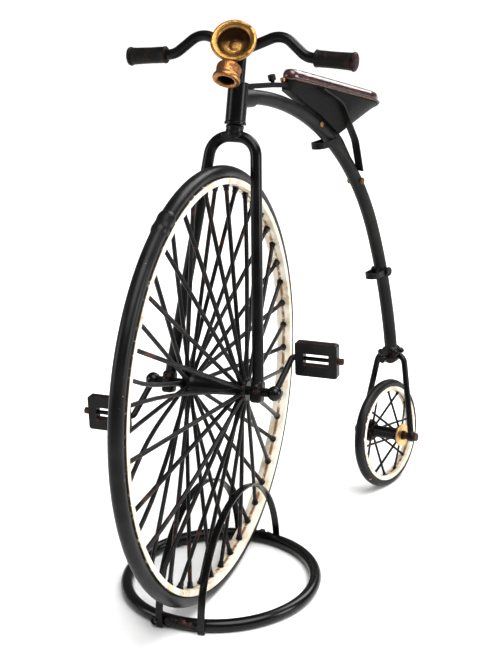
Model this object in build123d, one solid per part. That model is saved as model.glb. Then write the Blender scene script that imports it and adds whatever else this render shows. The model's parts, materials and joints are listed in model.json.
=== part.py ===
from build123d import *
from math import acos, cos, degrees, radians, sin, sqrt
import os

os.makedirs("parts", exist_ok=True)

# Desk-size high-wheel bicycle on a ring stand. Millimetres, X forward, Y to the
# rider's left, Z up. The floor is z = 0 and the stand ring is centred on the origin.
# The fork and front wheel point straight ahead; the rear frame is turned on the head.

# ---- Overall sizes
WHEEL_RADIUS = 150.0          # front wheel, over its tyre
REAR_WHEEL_RADIUS = 43.7      # rear wheel, over its tyre
RAKE = 18.0                   # lean of the steering axis, back from upright
STEER = 16.0                  # turn of the rear frame at rest, to the rider's left
REAR_REACH = WHEEL_RADIUS + 57.0   # front axle to rear axle, along X with the frame straight

# ---- Clearances
RUNNING = 0.05                # radial, shaft in its bearing
SEAT = 0.02                   # radial, pieces fixed on a shaft
SIDE_PLAY = 0.3               # along an axle or stem, between turning faces

# ---- Front wheel
TYRE_DIAMETER = 10.0
RIM_WIDTH = 11.0
RIM_FLOOR = 2.5               # metal under the tyre at the rim's middle
RIM_INNER_RADIUS = WHEEL_RADIUS - TYRE_DIAMETER - RIM_FLOOR
RIM_WALL = 4.5
SLEEVE_WALL = 0.8
SLEEVE_ARC = 7.0
SLEEVE_ANGLE = 113.0          # place of the tyre's joining sleeve, from the rear up and over
SPOKES_PER_SIDE = 24
SPOKE_DIAMETER = 3.0
NIPPLE_DIAMETER = 4.8
NIPPLE_NECK = 3.8
NIPPLE_LENGTH = 4.6
SPOKE_IN_NIPPLE = 3.0
HUB_DIAMETER = {"left": 8.6, "right": 13.6}   # the barrel tapers between its drums
DRUM_RADIUS = 7.5
DRUM_WIDTH = 6.5
DRUM_MIDDLE = {"left": 22.5, "right": 18.0}
SPOKE_ROW_STEP = 3.0
AXLE_DIAMETER = 6.0
AXLE_HALF = 45.0
BALL_DIAMETER = 10.4

# ---- Cranks and pedals
CRANK_LENGTH = 33.0
CRANK_ANGLE = 150.0           # left crank, turned up from straight ahead
CRANK_DIAMETER = 4.2
CRANK_OUT = 2.5
SPINDLE_DIAMETER = 2.8
PEDAL_LENGTH = 30.0
PEDAL_HEIGHT = 24.0
PEDAL_THICKNESS = 6.0
PEDAL_CORNER = 1.8
PEDAL_WINDOW = (18.0, 8.4)
PEDAL_NUT = 5.0
PEDAL_NUT_LENGTH = 3.4

# ---- Fork, along the steering axis from the front axle
BLADE_DIAMETER = 7.8
BLADE_FOOT_HALF = 32.6
BLADE_TOP_HALF = 15.8
BLADE_TOP = WHEEL_RADIUS + 20.0
BLADE_BEND = 14.0
DROPOUT = (10.0, 8.0, 15.0)
DROPOUT_CORNER = 3.0
DROPOUT_EDGE = 0.8
CROWN_DIAMETER = 12.6
CROWN_DEPTH = 9.0
CROWN_EDGE = 0.8
CROWN_TOP = BLADE_TOP + 7.7
STEM_DIAMETER = 8.0

# ---- Head tube, along the same axis
HEAD_DIAMETER = 14.0
RACE_THICKNESS = 2.0
RACE_DIAMETER = 15.0
HEAD_LENGTH = 26.5
HEAD_BOTTOM = CROWN_TOP + SIDE_PLAY + RACE_THICKNESS
HEAD_TOP = HEAD_BOTTOM + HEAD_LENGTH

# ---- Handlebar, grips and lamp
BAR_DIAMETER = 7.2
BAR_AHEAD = 2.0
BAR_MIDDLE_HEIGHT = HEAD_TOP + 20.5
BAR_PEAK = (29.5, HEAD_TOP + 33.0)
BAR_DROP = (48.0, HEAD_TOP + 17.6)
BAR_END = (80.0, HEAD_TOP + 15.6)
BAR_BEND = 14.0
GRIP_DIAMETER = 11.8
GRIP_LENGTH = 26.0
GRIP_EDGE = 1.0
GRIP_CAP_DIAMETER = 13.0
GRIP_CAP_LENGTH = 3.0
DISH_RADIUS = 13.9
DISH_DEPTH = 8.0
DISH_WALL = 1.5
DISH_LIP = 3.4
DISH_TILT = 38.0
DISH_TURN = 16.0              # the dish faces a little to the left
DISH_AHEAD = 15.0
DISH_HEIGHT = HEAD_TOP + 25.5
BURNER_RADIUS = 8.5
BURNER_FLANGE_RADIUS = 9.4
BURNER_FLANGE = 3.0
BURNER_LENGTH = 13.0
BURNER_EDGE = 2.5
BURNER_BORE = 5.7
BURNER_BORE_DEPTH = 8.0
BURNER_TILT = 49.0
BURNER_AHEAD = 22.5
BURNER_HEIGHT = HEAD_TOP - 2.8
LAMP_LUG_DIAMETER = 5.0

# ---- Lug and backbone; places on its curves are degrees from the curve's top
LUG_DIAMETER = 12.8
LUG_LENGTH = 10.0
LUG_EDGE = 1.0
LUG_HEIGHT = HEAD_BOTTOM + 15.6
BACKBONE_DIAMETER = 10.0
BACKBONE_SET_BACK = 6.6
BEND_RADIUS = WHEEL_RADIUS + 22.0
BEND_START = 7.2
BEND_END = 76.0
TAIL_RADIUS = 400.0

# ---- Rear fork and crown
REAR_CROWN_DIAMETER = 15.0
REAR_CROWN_LENGTH = 11.5
REAR_CROWN_EDGE = 2.5
REAR_CROWN_RISE = 16.7        # crown's middle, above the top of the rear tyre
REAR_BLADE_DIAMETER = 5.6
REAR_BLADE_FOOT_HALF = 23.5
REAR_BLADE_TOP_HALF = 11.5
REAR_BLADE_BEND = 9.0
REAR_EYE_DIAMETER = 8.0
REAR_EYE_WIDTH = 5.0
CROWN_BOLT_DIAMETER = 3.2
CROWN_BOLT_DROP = 2.0
CROWN_BOLT_FRONT = 15.0
CROWN_BOLT_BACK = 12.0
CROWN_BOLT_HEAD = (5.4, 3.0)  # diameter and length
CROWN_BOLT_NUT = (4.4, 2.4)

# ---- Rear wheel
REAR_TYRE_DIAMETER = 7.4
REAR_RIM_WIDTH = 8.0
REAR_RIM_FLOOR = 1.1
REAR_RIM_INNER_RADIUS = REAR_WHEEL_RADIUS - REAR_TYRE_DIAMETER - REAR_RIM_FLOOR
REAR_RIM_WALL = 3.6
REAR_SPOKES_PER_SIDE = 7
REAR_SPOKE_DIAMETER = 1.5
REAR_NIPPLE_DIAMETER = 3.0
REAR_NIPPLE_NECK = 2.25
REAR_NIPPLE_LENGTH = 2.6
REAR_HUB_DIAMETER = 9.6
REAR_DRUM_RADIUS = 6.4
REAR_DRUM_WIDTH = 3.6
REAR_DRUM_MIDDLE = 12.4
REAR_FLANGE_RADIUS = 9.0
REAR_FLANGE = 1.8
REAR_BOSS_RADIUS = 3.6
REAR_HUB_HALF = 17.4
REAR_AXLE_DIAMETER = 4.0
REAR_SHOULDER_DIAMETER = 5.6
REAR_NUT_DIAMETER = 6.6
REAR_NUT_LENGTH = 2.6

# ---- Saddle, placed from the backbone's front end
SADDLE_BEHIND = 49.0
SADDLE_ABOVE = 4.6
SADDLE_LENGTH = 108.0
SADDLE_SLOPE = 19.5
SADDLE_NOSE_HALF = 8.0
SADDLE_TAIL_HALF = 21.5
SADDLE_THICKNESS = 8.0
SADDLE_EDGE = 4.0
SADDLE_SEAM_GAP = 0.1
PAN_TOP_HALF = 12.5
PAN_KEEL_HALF = 4.4
PAN_DEPTH = 30.0
PAN_INSET = 3.0
PAN_CLEARANCE = 0.8
PAN_NOSE_DEPTH = 7.5
PAN_TAIL_DEPTH = 5.0
PAN_KEEL_FRONT = 34.0         # places on the bend where the pan's keel meets the backbone
PAN_KEEL_BACK = 46.0
PAN_KEEL_LIFT = 6.0

# ---- Saddle stays: place on the bend and distance out from the backbone's middle
STAY_WIDTH = 6.4
STAY_THICKNESS = 1.3
STAY_SPREAD = 9.0
STAY_APART = 0.3
STAY_CURVE = 25.0
STAY_FOOT = 58.0
STAY_KNEE = (50.0, 13.4)
STAY_RISE = (38.0, 21.4)
STAY_TIP = 24.0               # place under the saddle, back from its nose
STAY_BOLT_PLACE = 60.0
STAY_BOLT = (3.0, 5.0, 2.0)   # bolts and rivets: shank diameter, head diameter, head length

# ---- Spring bracket from the head tube to the saddle's nose
BRACKET_WIDTH = 5.0
BRACKET_THICKNESS = 3.4
BRACKET_CURVE = 12.0
BRACKET_TOP_GAP = 1.6         # below the head tube's top
BRACKET_KNEE = (16.0, 1.5)    # ahead of the saddle's nose and below its seam
BRACKET_END = (-8.0, 5.5)
BRACKET_BOLT_AHEAD = 14.0
BRACKET_BOLT = (3.0, 5.4, 4.0)
BRACKET_BOLT_SHANK = 1.4
BRACKET_RIVET = (3.6, 2.5)    # diameter and length
BRACKET_RIVET_AHEAD = 2.0

# ---- Steps: level straps that go round the front of the backbone, and the rivet and bolt
STEP_WIDTH = 4.6
STEP_THICKNESS = 1.5
STEP_SINK = 0.4               # how far a strap's legs are let into the backbone's sides
STEP_BEND = 5.0
UPPER_STEP_PLACE = 45.0
UPPER_STEP_REACH = 21.0
LOWER_STEP_REACH = 17.0
STEP_BEHIND = 3.0             # legs beyond the backbone's middle
STEP_RIVET_PLACE = 37.0
STEP_RIVET = (2.4, 4.0, 1.2)
STEP_BOLT_PLACE = 80.9
STEP_BOLT = (3.0, 7.0, 1.8)
HEAD_SINK = 0.5               # how far bolt heads sit into the backbone's round sides

# ---- Ring stand
RING_RADIUS = 67.1
RING_TUBE = 8.7
HOOP_CLEARANCE = 0.3          # hoop to spokes, where they come nearest
HOOP_WIDTH = 5.0
HOOP_THICKNESS = 1.5
HOOP_BASE = 1.0

HUB = Vector(0, 0, WHEEL_RADIUS)
HEAD_AXIS = Axis(HUB, Vector(-sin(radians(RAKE)), 0, cos(radians(RAKE))))
HEAD = Plane(origin=HUB, x_dir=(cos(radians(RAKE)), 0, sin(radians(RAKE))), z_dir=HEAD_AXIS.direction)
SIDES = {"left": 1, "right": -1}

nodes = {}


def rod(start, end, diameter):
    """A round bar between two points."""
    start = Vector(*start)
    span = Vector(*end) - start
    bar = Cylinder(diameter / 2, span.length, align=(Align.CENTER, Align.CENTER, Align.MIN))
    return Plane(origin=start, z_dir=span).location * bar


def bent_bar(path, diameter):
    """A round bar along a path."""
    return sweep(Plane(origin=path @ 0, z_dir=path % 0) * Circle(diameter / 2), path)


def strip(points, bend, thickness, width):
    """A flat strip bent in the frame's plane, its width across the frame."""
    band = trace(FilletPolyline(*[(p.X, p.Z) for p in points], radius=bend), thickness)
    return Plane.XZ.location * extrude(band, width / 2, both=True)


def side_prism(points, width):
    """A side outline in the frame's plane, pulled out equally both ways."""
    outline = make_face(Polyline(*[(p.X, p.Z) for p in points], close=True))
    return Plane.XZ.location * extrude(outline, width / 2, both=True)


def on_head(shape):
    """Places a shape drawn with Z up the steering axis from the front axle."""
    return HEAD.location * shape


def head_point(ahead, across, height):
    return HEAD.from_local_coords(Vector(ahead, across, height))


def steered(shape):
    """Turns a piece of the rear frame, drawn straight, to its place at rest."""
    return shape.rotate(HEAD_AXIS, -STEER)


def straight(name):
    """A piece of the rear frame that is already made, turned back to how it was drawn."""
    return nodes[name].rotate(HEAD_AXIS, STEER)


def axle_disc(radius, low, high):
    """A disc or bar about the Y axis, between two places on it."""
    return rod((0, low, 0), (0, high, 0), radius * 2)


def wheel_section(face):
    """A cross-section drawn in X (radius) and Z (along the axle), turned round the axle."""
    ring = revolve(Plane.XZ * face, Axis.Z)
    return Rot(-90, 0, 0) * ring


def grooved_rim(inner, wall, width, tyre_centre, tyre_radius):
    outline = Pos(inner + wall / 2, 0) * Rectangle(wall, width)
    return wheel_section(outline - Pos(tyre_centre, 0) * Circle(tyre_radius + SEAT))


def spoke_and_nipple(start_radius, start_side, rim_inner, spoke, nipple, neck, length, grip):
    """One spoke along +X with the nipple that holds it to the rim."""
    reach = rim_inner
    root = Vector(start_radius / 2, start_side, 0)
    tip = Vector(rim_inner, 0, 0)
    along = (tip - root).normalized()
    bar = rod(root, tip - along * (length - grip), spoke) - axle_disc(start_radius, -reach, reach)
    cone = Cone(neck / 2, nipple / 2, length * 2, align=(Align.CENTER, Align.CENTER, Align.MIN))
    seat = Plane(origin=tip - along * length, z_dir=along).location * cone
    return bar, (seat & axle_disc(rim_inner, -reach, reach)) - bar


def spoked_side(count, side, rows, first_angle, **size):
    """All spokes and nipples that start at one end of a hub."""
    bars, nipples = [], []
    pairs = [spoke_and_nipple(start_side=side * row, **size) for row in rows]
    for k in range(count):
        bar, nipple = pairs[k % len(rows)]
        turn = Rot(0, first_angle + 360 / count * k, 0)
        bars.append(turn * bar)
        nipples.append(turn * nipple)
    return bars, nipples


def front_wheel():
    place = Pos(*HUB)
    tyre_radius = TYRE_DIAMETER / 2
    centre = WHEEL_RADIUS - tyre_radius
    tyre = wheel_section(Pos(centre, 0) * Circle(tyre_radius))
    rim = grooved_rim(RIM_INNER_RADIUS, RIM_WALL, RIM_WIDTH, centre, tyre_radius)
    band = Circle(tyre_radius + SLEEVE_WALL) - Circle(tyre_radius + SEAT)
    sleeve = Rot(-90, 0, 0) * revolve(Plane.XZ * (Pos(centre, 0) * band), Axis.Z, SLEEVE_ARC)
    stagger = 180 / SPOKES_PER_SIDE
    between_spokes = Rot(0, stagger / 2, 0)
    nodes["front_tyre"] = place * between_spokes * tyre
    nodes["front_rim"] = place * between_spokes * rim
    nodes["tyre_sleeve"] = place * (Rot(0, SLEEVE_ANGLE + 180, 0) * sleeve - rim)

    size = dict(start_radius=DRUM_RADIUS, rim_inner=RIM_INNER_RADIUS, spoke=SPOKE_DIAMETER,
                nipple=NIPPLE_DIAMETER, neck=NIPPLE_NECK, length=NIPPLE_LENGTH, grip=SPOKE_IN_NIPPLE)
    for name, side in SIDES.items():
        rows = (DRUM_MIDDLE[name] + SPOKE_ROW_STEP / 2, DRUM_MIDDLE[name] - SPOKE_ROW_STEP / 2)
        bars, nipples = spoked_side(SPOKES_PER_SIDE, side, rows, stagger * (side < 0), **size)
        nodes[f"front_spokes_{name}"] = place * Compound(children=bars)
        nodes[f"front_nipples_{name}"] = place * Compound(children=nipples)

    length = DRUM_MIDDLE["left"] + DRUM_MIDDLE["right"]
    barrel = Cone(HUB_DIAMETER["right"] / 2, HUB_DIAMETER["left"] / 2, length,
                  align=(Align.CENTER, Align.CENTER, Align.MIN))
    barrel = Plane(origin=(0, -DRUM_MIDDLE["right"], 0), z_dir=(0, 1, 0)).location * barrel
    for name, side in SIDES.items():
        near, far = DRUM_MIDDLE[name] - DRUM_WIDTH / 2, DRUM_MIDDLE[name] + DRUM_WIDTH / 2
        barrel += axle_disc(DRUM_RADIUS, side * near, side * far)
    axle = axle_disc(AXLE_DIAMETER / 2, -AXLE_HALF, AXLE_HALF)
    nodes["front_hub"] = place * (barrel - axle_disc(AXLE_DIAMETER / 2 + SEAT, -AXLE_HALF, AXLE_HALF))
    nodes["front_axle"] = place * axle


def crank_and_pedal(name, side):
    """Crank with its spindle, the ball that locks it on the axle, the pedal and its nut."""
    turn = CRANK_ANGLE if side > 0 else CRANK_ANGLE + 180
    reach = Vector(CRANK_LENGTH * cos(radians(turn)), 0, CRANK_LENGTH * sin(radians(turn)))
    root = HUB + Vector(0, side * AXLE_HALF, 0)
    knee = root + reach + Vector(0, side * CRANK_OUT, 0)
    shoulder = knee + Vector(0, side * CRANK_OUT, 0)
    pedal_start = shoulder + Vector(0, side * SIDE_PLAY, 0)
    pedal_end = pedal_start + Vector(0, side * PEDAL_LENGTH, 0)
    nut_start = pedal_end + Vector(0, side * SIDE_PLAY, 0)
    tip = nut_start + Vector(0, side * PEDAL_NUT_LENGTH, 0)

    axle = rod(root, root - Vector(0, side * BALL_DIAMETER, 0), AXLE_DIAMETER)
    ball = Pos(*root) * Sphere(BALL_DIAMETER / 2) - axle
    arm = rod(root, knee, CRANK_DIAMETER) + Pos(*knee) * Sphere(CRANK_DIAMETER / 2)
    arm += rod(knee, shoulder, CRANK_DIAMETER) + rod(shoulder, tip, SPINDLE_DIAMETER)
    nodes[f"axle_ball_{name}"] = ball
    nodes[f"crank_{name}"] = arm - ball - axle
    nut = extrude(RegularPolygon(PEDAL_NUT / 2, 6), PEDAL_NUT_LENGTH)
    nut = Plane(origin=nut_start, z_dir=(0, side, 0)).location * nut
    nodes[f"pedal_nut_{name}"] = nut - rod(shoulder, tip, SPINDLE_DIAMETER)

    block = Box(PEDAL_THICKNESS, PEDAL_LENGTH, PEDAL_HEIGHT)
    block = fillet(block.edges().filter_by(Axis.X), PEDAL_CORNER)
    block = Pos(*((pedal_start + pedal_end) / 2)) * (block - Box(PEDAL_THICKNESS * 2, *PEDAL_WINDOW))
    bore = rod(shoulder, tip, SPINDLE_DIAMETER + 2 * RUNNING)
    nodes[f"pedal_{name}"] = block - bore
    return knee


def fork():
    foot = DROPOUT[2] / 4
    legs = FilletPolyline((0, BLADE_FOOT_HALF, foot), (0, BLADE_TOP_HALF, BLADE_TOP),
                          (0, -BLADE_TOP_HALF, BLADE_TOP), (0, -BLADE_FOOT_HALF, foot), radius=BLADE_BEND)
    blades = bent_bar(legs, BLADE_DIAMETER)
    bore = axle_disc(AXLE_DIAMETER / 2 + RUNNING, -AXLE_HALF, AXLE_HALF)
    for name, side in SIDES.items():
        block = fillet(Box(*DROPOUT).edges().filter_by(Axis.Y), DROPOUT_CORNER)
        block = Pos(0, side * BLADE_FOOT_HALF, 0) * fillet(block.edges(), DROPOUT_EDGE)
        blades -= block
        nodes[f"dropout_{name}"] = on_head(block - bore)
    crown = rod((0, 0, CROWN_TOP - CROWN_DEPTH), (0, 0, CROWN_TOP), CROWN_DIAMETER)
    crown = fillet(crown.edges(), CROWN_EDGE) - blades
    stem = rod((0, 0, CROWN_TOP), (0, 0, BAR_MIDDLE_HEIGHT), STEM_DIAMETER)

    points = [(BAR_AHEAD, 0, BAR_MIDDLE_HEIGHT)]
    half = [(BAR_AHEAD, *BAR_PEAK), (BAR_AHEAD, *BAR_DROP), (BAR_AHEAD, *BAR_END)]
    mirrored = [(a, -y, z) for a, y, z in reversed(half)]
    bar = bent_bar(FilletPolyline(*mirrored, *points, *half, radius=BAR_BEND), BAR_DIAMETER)
    nodes["fork_blades"] = on_head(blades)
    nodes["fork_crown"] = on_head(crown)
    nodes["steering_stem"] = on_head(stem - bar)
    nodes["handlebar"] = on_head(bar)
    for name, side in SIDES.items():
        end = Vector(BAR_AHEAD, side * BAR_END[0], BAR_END[1])
        inward = (Vector(BAR_AHEAD, side * BAR_DROP[0], BAR_DROP[1]) - end).normalized()
        inner = end + inward * GRIP_LENGTH
        grip = fillet(rod(end, inner, GRIP_DIAMETER).edges(), GRIP_EDGE)
        nodes[f"grip_{name}"] = on_head(grip - rod(end, inner, BAR_DIAMETER + 2 * SEAT))
        cap = rod(end, end - inward * GRIP_CAP_LENGTH, GRIP_CAP_DIAMETER)
        nodes[f"grip_cap_{name}"] = on_head(fillet(cap.edges(), GRIP_EDGE))
    return bar


def lamp(bar):
    """Dished reflector over a short flanged burner, both on the front of the bar."""
    tilt, turn = radians(DISH_TILT), radians(DISH_TURN)
    facing = Vector(cos(tilt) * cos(turn), cos(tilt) * sin(turn), sin(tilt))
    centre = head_point(DISH_AHEAD, 0, DISH_HEIGHT)
    sphere_radius = (DISH_RADIUS ** 2 + DISH_DEPTH ** 2) / (2 * DISH_DEPTH)
    lift = Pos(0, 0, sphere_radius - DISH_DEPTH)
    hollow = lift * Sphere(sphere_radius)
    behind = Box(*[4 * sphere_radius] * 3, align=(Align.CENTER, Align.CENTER, Align.MAX))
    bowl = (lift * Sphere(sphere_radius + DISH_WALL) - hollow) & behind
    place = Plane(origin=centre, z_dir=facing)
    dish = place.location * (bowl + Torus(DISH_RADIUS, DISH_LIP / 2))

    lean = radians(BURNER_TILT)
    out = Vector(cos(lean), 0, -sin(lean))
    mouth = head_point(BURNER_AHEAD, 0, BURNER_HEIGHT)
    body = rod(mouth, mouth - out * BURNER_LENGTH, 2 * BURNER_RADIUS)
    body = fillet(body.edges().sort_by_distance(mouth)[-1], BURNER_EDGE)
    body += rod(mouth, mouth - out * BURNER_FLANGE, 2 * BURNER_FLANGE_RADIUS)
    body -= rod(mouth, mouth - out * BURNER_BORE_DEPTH, 2 * BURNER_BORE)
    back = centre - facing * DISH_DEPTH
    bar_middle = head_point(BAR_AHEAD, 0, BAR_MIDDLE_HEIGHT)
    stem_room = rod((0, 0, CROWN_TOP), (0, 0, BAR_MIDDLE_HEIGHT), STEM_DIAMETER + 4 * RUNNING)
    lug = rod(bar_middle, back, LAMP_LUG_DIAMETER) - on_head(bar) - on_head(stem_room) - dish
    nodes["lamp_dish"] = dish
    nodes["lamp_burner"] = body - dish
    nodes["lamp_lug"] = lug - place.location * hollow


def bend_point(centre, radius, angle):
    return centre + Vector(-sin(radians(angle)), 0, cos(radians(angle))) * radius


class Backbone:
    """The curved spine: a quarter bend and a nearly straight tail, in the frame's plane."""

    start = head_point(0, 0, LUG_HEIGHT) - Vector(BACKBONE_SET_BACK, 0, 0)
    centre = start * 2 - bend_point(start, BEND_RADIUS, BEND_START)
    middle = bend_point(centre, BEND_RADIUS, BEND_END)
    tail_centre = middle * 2 - bend_point(middle, TAIL_RADIUS, BEND_END)
    end_height = 2 * REAR_WHEEL_RADIUS + REAR_CROWN_RISE
    tail_end = degrees(acos((end_height - tail_centre.Z) / TAIL_RADIUS))
    end = bend_point(tail_centre, TAIL_RADIUS, tail_end)
    radius = BACKBONE_DIAMETER / 2

    @classmethod
    def at(cls, angle, out=0.0):
        """A point of the bend, or one that lies out from it, away from the bend's centre."""
        return bend_point(cls.centre, BEND_RADIUS + out, angle)

    @classmethod
    def tail_at(cls, angle, out=0.0):
        return bend_point(cls.tail_centre, TAIL_RADIUS + out, angle)

    @classmethod
    def bend(cls):
        return ThreePointArc(cls.start, cls.at((BEND_START + BEND_END) / 2), cls.middle)

    @classmethod
    def bar(cls):
        tail = ThreePointArc(cls.middle, cls.tail_at((BEND_END + cls.tail_end) / 2), cls.end)
        return bent_bar(Wire([cls.bend(), tail]), BACKBONE_DIAMETER)


class Saddle:
    """The plane of the saddle's seam: nose, direction back along it, and its upright."""

    slope = radians(SADDLE_SLOPE)
    nose = Backbone.start + Vector(-SADDLE_BEHIND, 0, SADDLE_ABOVE)
    back = Vector(-cos(slope), 0, -sin(slope))
    up = Vector(-sin(slope), 0, cos(slope))
    plane = Plane(origin=nose, x_dir=back, z_dir=up)


def rear_axle_point():
    """Rear axle, drawn straight, so that the turned rear tyre stands on the floor."""
    rake, turn = radians(RAKE), radians(STEER)
    lean = sin(rake) * sin(turn)
    tube = REAR_TYRE_DIAMETER / 2
    axle_height = (REAR_WHEEL_RADIUS - tube) * sqrt(1 - lean ** 2) + tube
    shrink = 1 - cos(turn)
    drop = (axle_height - WHEEL_RADIUS - sin(rake) * cos(rake) * shrink * REAR_REACH)
    return Vector(-REAR_REACH, 0, WHEEL_RADIUS + drop / (cos(turn) + cos(rake) ** 2 * shrink))


def head_and_backbone():
    outer = on_head(rod((0, 0, HEAD_BOTTOM), (0, 0, HEAD_TOP), HEAD_DIAMETER))
    bore = on_head(rod((0, 0, CROWN_TOP), (0, 0, HEAD_TOP), STEM_DIAMETER + 2 * RUNNING))
    race = on_head(rod((0, 0, CROWN_TOP + SIDE_PLAY), (0, 0, HEAD_BOTTOM), RACE_DIAMETER))
    nodes["head_tube"] = steered(outer - bore)
    nodes["lower_race"] = steered(race - bore)
    spine = Backbone.bar() - outer
    along = Vector(-cos(radians(BEND_START)), 0, -sin(radians(BEND_START)))
    root = head_point(0, 0, LUG_HEIGHT)
    lug = rod(root, root + along * (BACKBONE_SET_BACK + LUG_LENGTH), LUG_DIAMETER)
    lug = fillet(lug.edges(), LUG_EDGE)
    nodes["head_lug"] = steered(lug - outer - spine)
    return spine


def rear_fork(spine):
    axle = rear_axle_point()
    crown_centre = Backbone.end
    crown = rod(crown_centre + Vector(REAR_CROWN_LENGTH / 2, 0, 0),
                crown_centre - Vector(REAR_CROWN_LENGTH / 2, 0, 0), REAR_CROWN_DIAMETER)
    crown = fillet(crown.edges(), REAR_CROWN_EDGE)
    plane = Plane(origin=axle, x_dir=(0, 1, 0), z_dir=crown_centre - axle)
    top = (crown_centre - axle).length
    legs = FilletPolyline((REAR_BLADE_FOOT_HALF, 0, 0), (REAR_BLADE_TOP_HALF, 0, top),
                          (-REAR_BLADE_TOP_HALF, 0, top), (-REAR_BLADE_FOOT_HALF, 0, 0),
                          radius=REAR_BLADE_BEND)
    blades = plane.location * bent_bar(legs, REAR_BLADE_DIAMETER)
    place = Pos(*axle)
    shaft = place * axle_disc(REAR_AXLE_DIAMETER / 2, -REAR_BLADE_FOOT_HALF, REAR_BLADE_FOOT_HALF)
    outer_face = REAR_BLADE_FOOT_HALF + REAR_EYE_WIDTH / 2
    inner_face = REAR_BLADE_FOOT_HALF - REAR_EYE_WIDTH / 2
    for side in SIDES.values():
        eye = axle_disc(REAR_EYE_DIAMETER / 2, side * inner_face, side * outer_face)
        shoulder = axle_disc(REAR_SHOULDER_DIAMETER / 2, side * (REAR_HUB_HALF + SIDE_PLAY), side * inner_face)
        end = axle_disc(REAR_AXLE_DIAMETER / 2, 0, side * (outer_face + REAR_NUT_LENGTH))
        nut = axle_disc(REAR_NUT_DIAMETER / 2, side * outer_face, side * (outer_face + REAR_NUT_LENGTH))
        blades += place * eye
        shaft += place * (shoulder + end + nut)
    bolt_start = crown_centre + Vector(CROWN_BOLT_FRONT, 0, -CROWN_BOLT_DROP)
    bolt_end = crown_centre + Vector(-CROWN_BOLT_BACK, 0, -CROWN_BOLT_DROP)
    bolt = rod(bolt_start, bolt_end, CROWN_BOLT_DIAMETER)
    bolt += rod(bolt_start, bolt_start - Vector(CROWN_BOLT_HEAD[1], 0, 0), CROWN_BOLT_HEAD[0])
    bolt += rod(bolt_end, bolt_end + Vector(CROWN_BOLT_NUT[1], 0, 0), CROWN_BOLT_NUT[0])
    blades = blades - shaft - bolt
    nodes["backbone"] = steered(spine - crown - blades - bolt)
    nodes["rear_crown"] = steered(crown - blades - bolt)
    nodes["rear_fork"] = steered(blades)
    nodes["rear_axle"] = steered(shaft)
    nodes["crown_bolt"] = steered(bolt)


def rear_wheel():
    place = Pos(*rear_axle_point())
    tube = REAR_TYRE_DIAMETER / 2
    centre = REAR_WHEEL_RADIUS - tube
    stagger = 180 / REAR_SPOKES_PER_SIDE
    between_spokes = Rot(0, stagger / 2, 0)
    rim = grooved_rim(REAR_RIM_INNER_RADIUS, REAR_RIM_WALL, REAR_RIM_WIDTH, centre, tube)
    nodes["rear_tyre"] = steered(place * between_spokes * wheel_section(Pos(centre, 0) * Circle(tube)))
    nodes["rear_rim"] = steered(place * between_spokes * rim)
    size = dict(start_radius=REAR_DRUM_RADIUS, rim_inner=REAR_RIM_INNER_RADIUS, spoke=REAR_SPOKE_DIAMETER,
                nipple=REAR_NIPPLE_DIAMETER, neck=REAR_NIPPLE_NECK, length=REAR_NIPPLE_LENGTH,
                grip=REAR_NIPPLE_LENGTH / 2)
    all_bars, all_nipples = [], []
    for side in SIDES.values():
        first = stagger * (side < 0)
        bars, nipples = spoked_side(REAR_SPOKES_PER_SIDE, side, (REAR_DRUM_MIDDLE,), first, **size)
        all_bars += bars
        all_nipples += nipples
    nodes["rear_spokes"] = steered(place * Compound(children=all_bars))
    nodes["rear_nipples"] = steered(place * Compound(children=all_nipples))
    hub = axle_disc(REAR_HUB_DIAMETER / 2, -REAR_DRUM_MIDDLE, REAR_DRUM_MIDDLE)
    hub += axle_disc(REAR_BOSS_RADIUS, -REAR_HUB_HALF, REAR_HUB_HALF)
    drum_face = REAR_DRUM_MIDDLE + REAR_DRUM_WIDTH / 2
    for name, side in SIDES.items():
        hub += axle_disc(REAR_DRUM_RADIUS, side * (drum_face - REAR_DRUM_WIDTH), side * drum_face)
        flange = axle_disc(REAR_FLANGE_RADIUS, side * drum_face, side * (drum_face + REAR_FLANGE))
        flange -= axle_disc(REAR_BOSS_RADIUS + SEAT, -REAR_HUB_HALF, REAR_HUB_HALF)
        nodes[f"rear_flange_{name}"] = steered(place * flange)
    bore = axle_disc(REAR_AXLE_DIAMETER / 2 + RUNNING, -REAR_HUB_HALF, REAR_HUB_HALF)
    nodes["rear_hub"] = steered(place * (hub - bore))


def saddle_outline(inset):
    """Plan of the saddle: a narrow nose that widens to a rounded tail, along +X from the nose."""
    nose = Pos(SADDLE_NOSE_HALF, 0) * Circle(SADDLE_NOSE_HALF - inset)
    tail = Pos(SADDLE_LENGTH - SADDLE_TAIL_HALF, 0) * Circle(SADDLE_TAIL_HALF - inset)
    return make_hull(nose.edges() + tail.edges())


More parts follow.
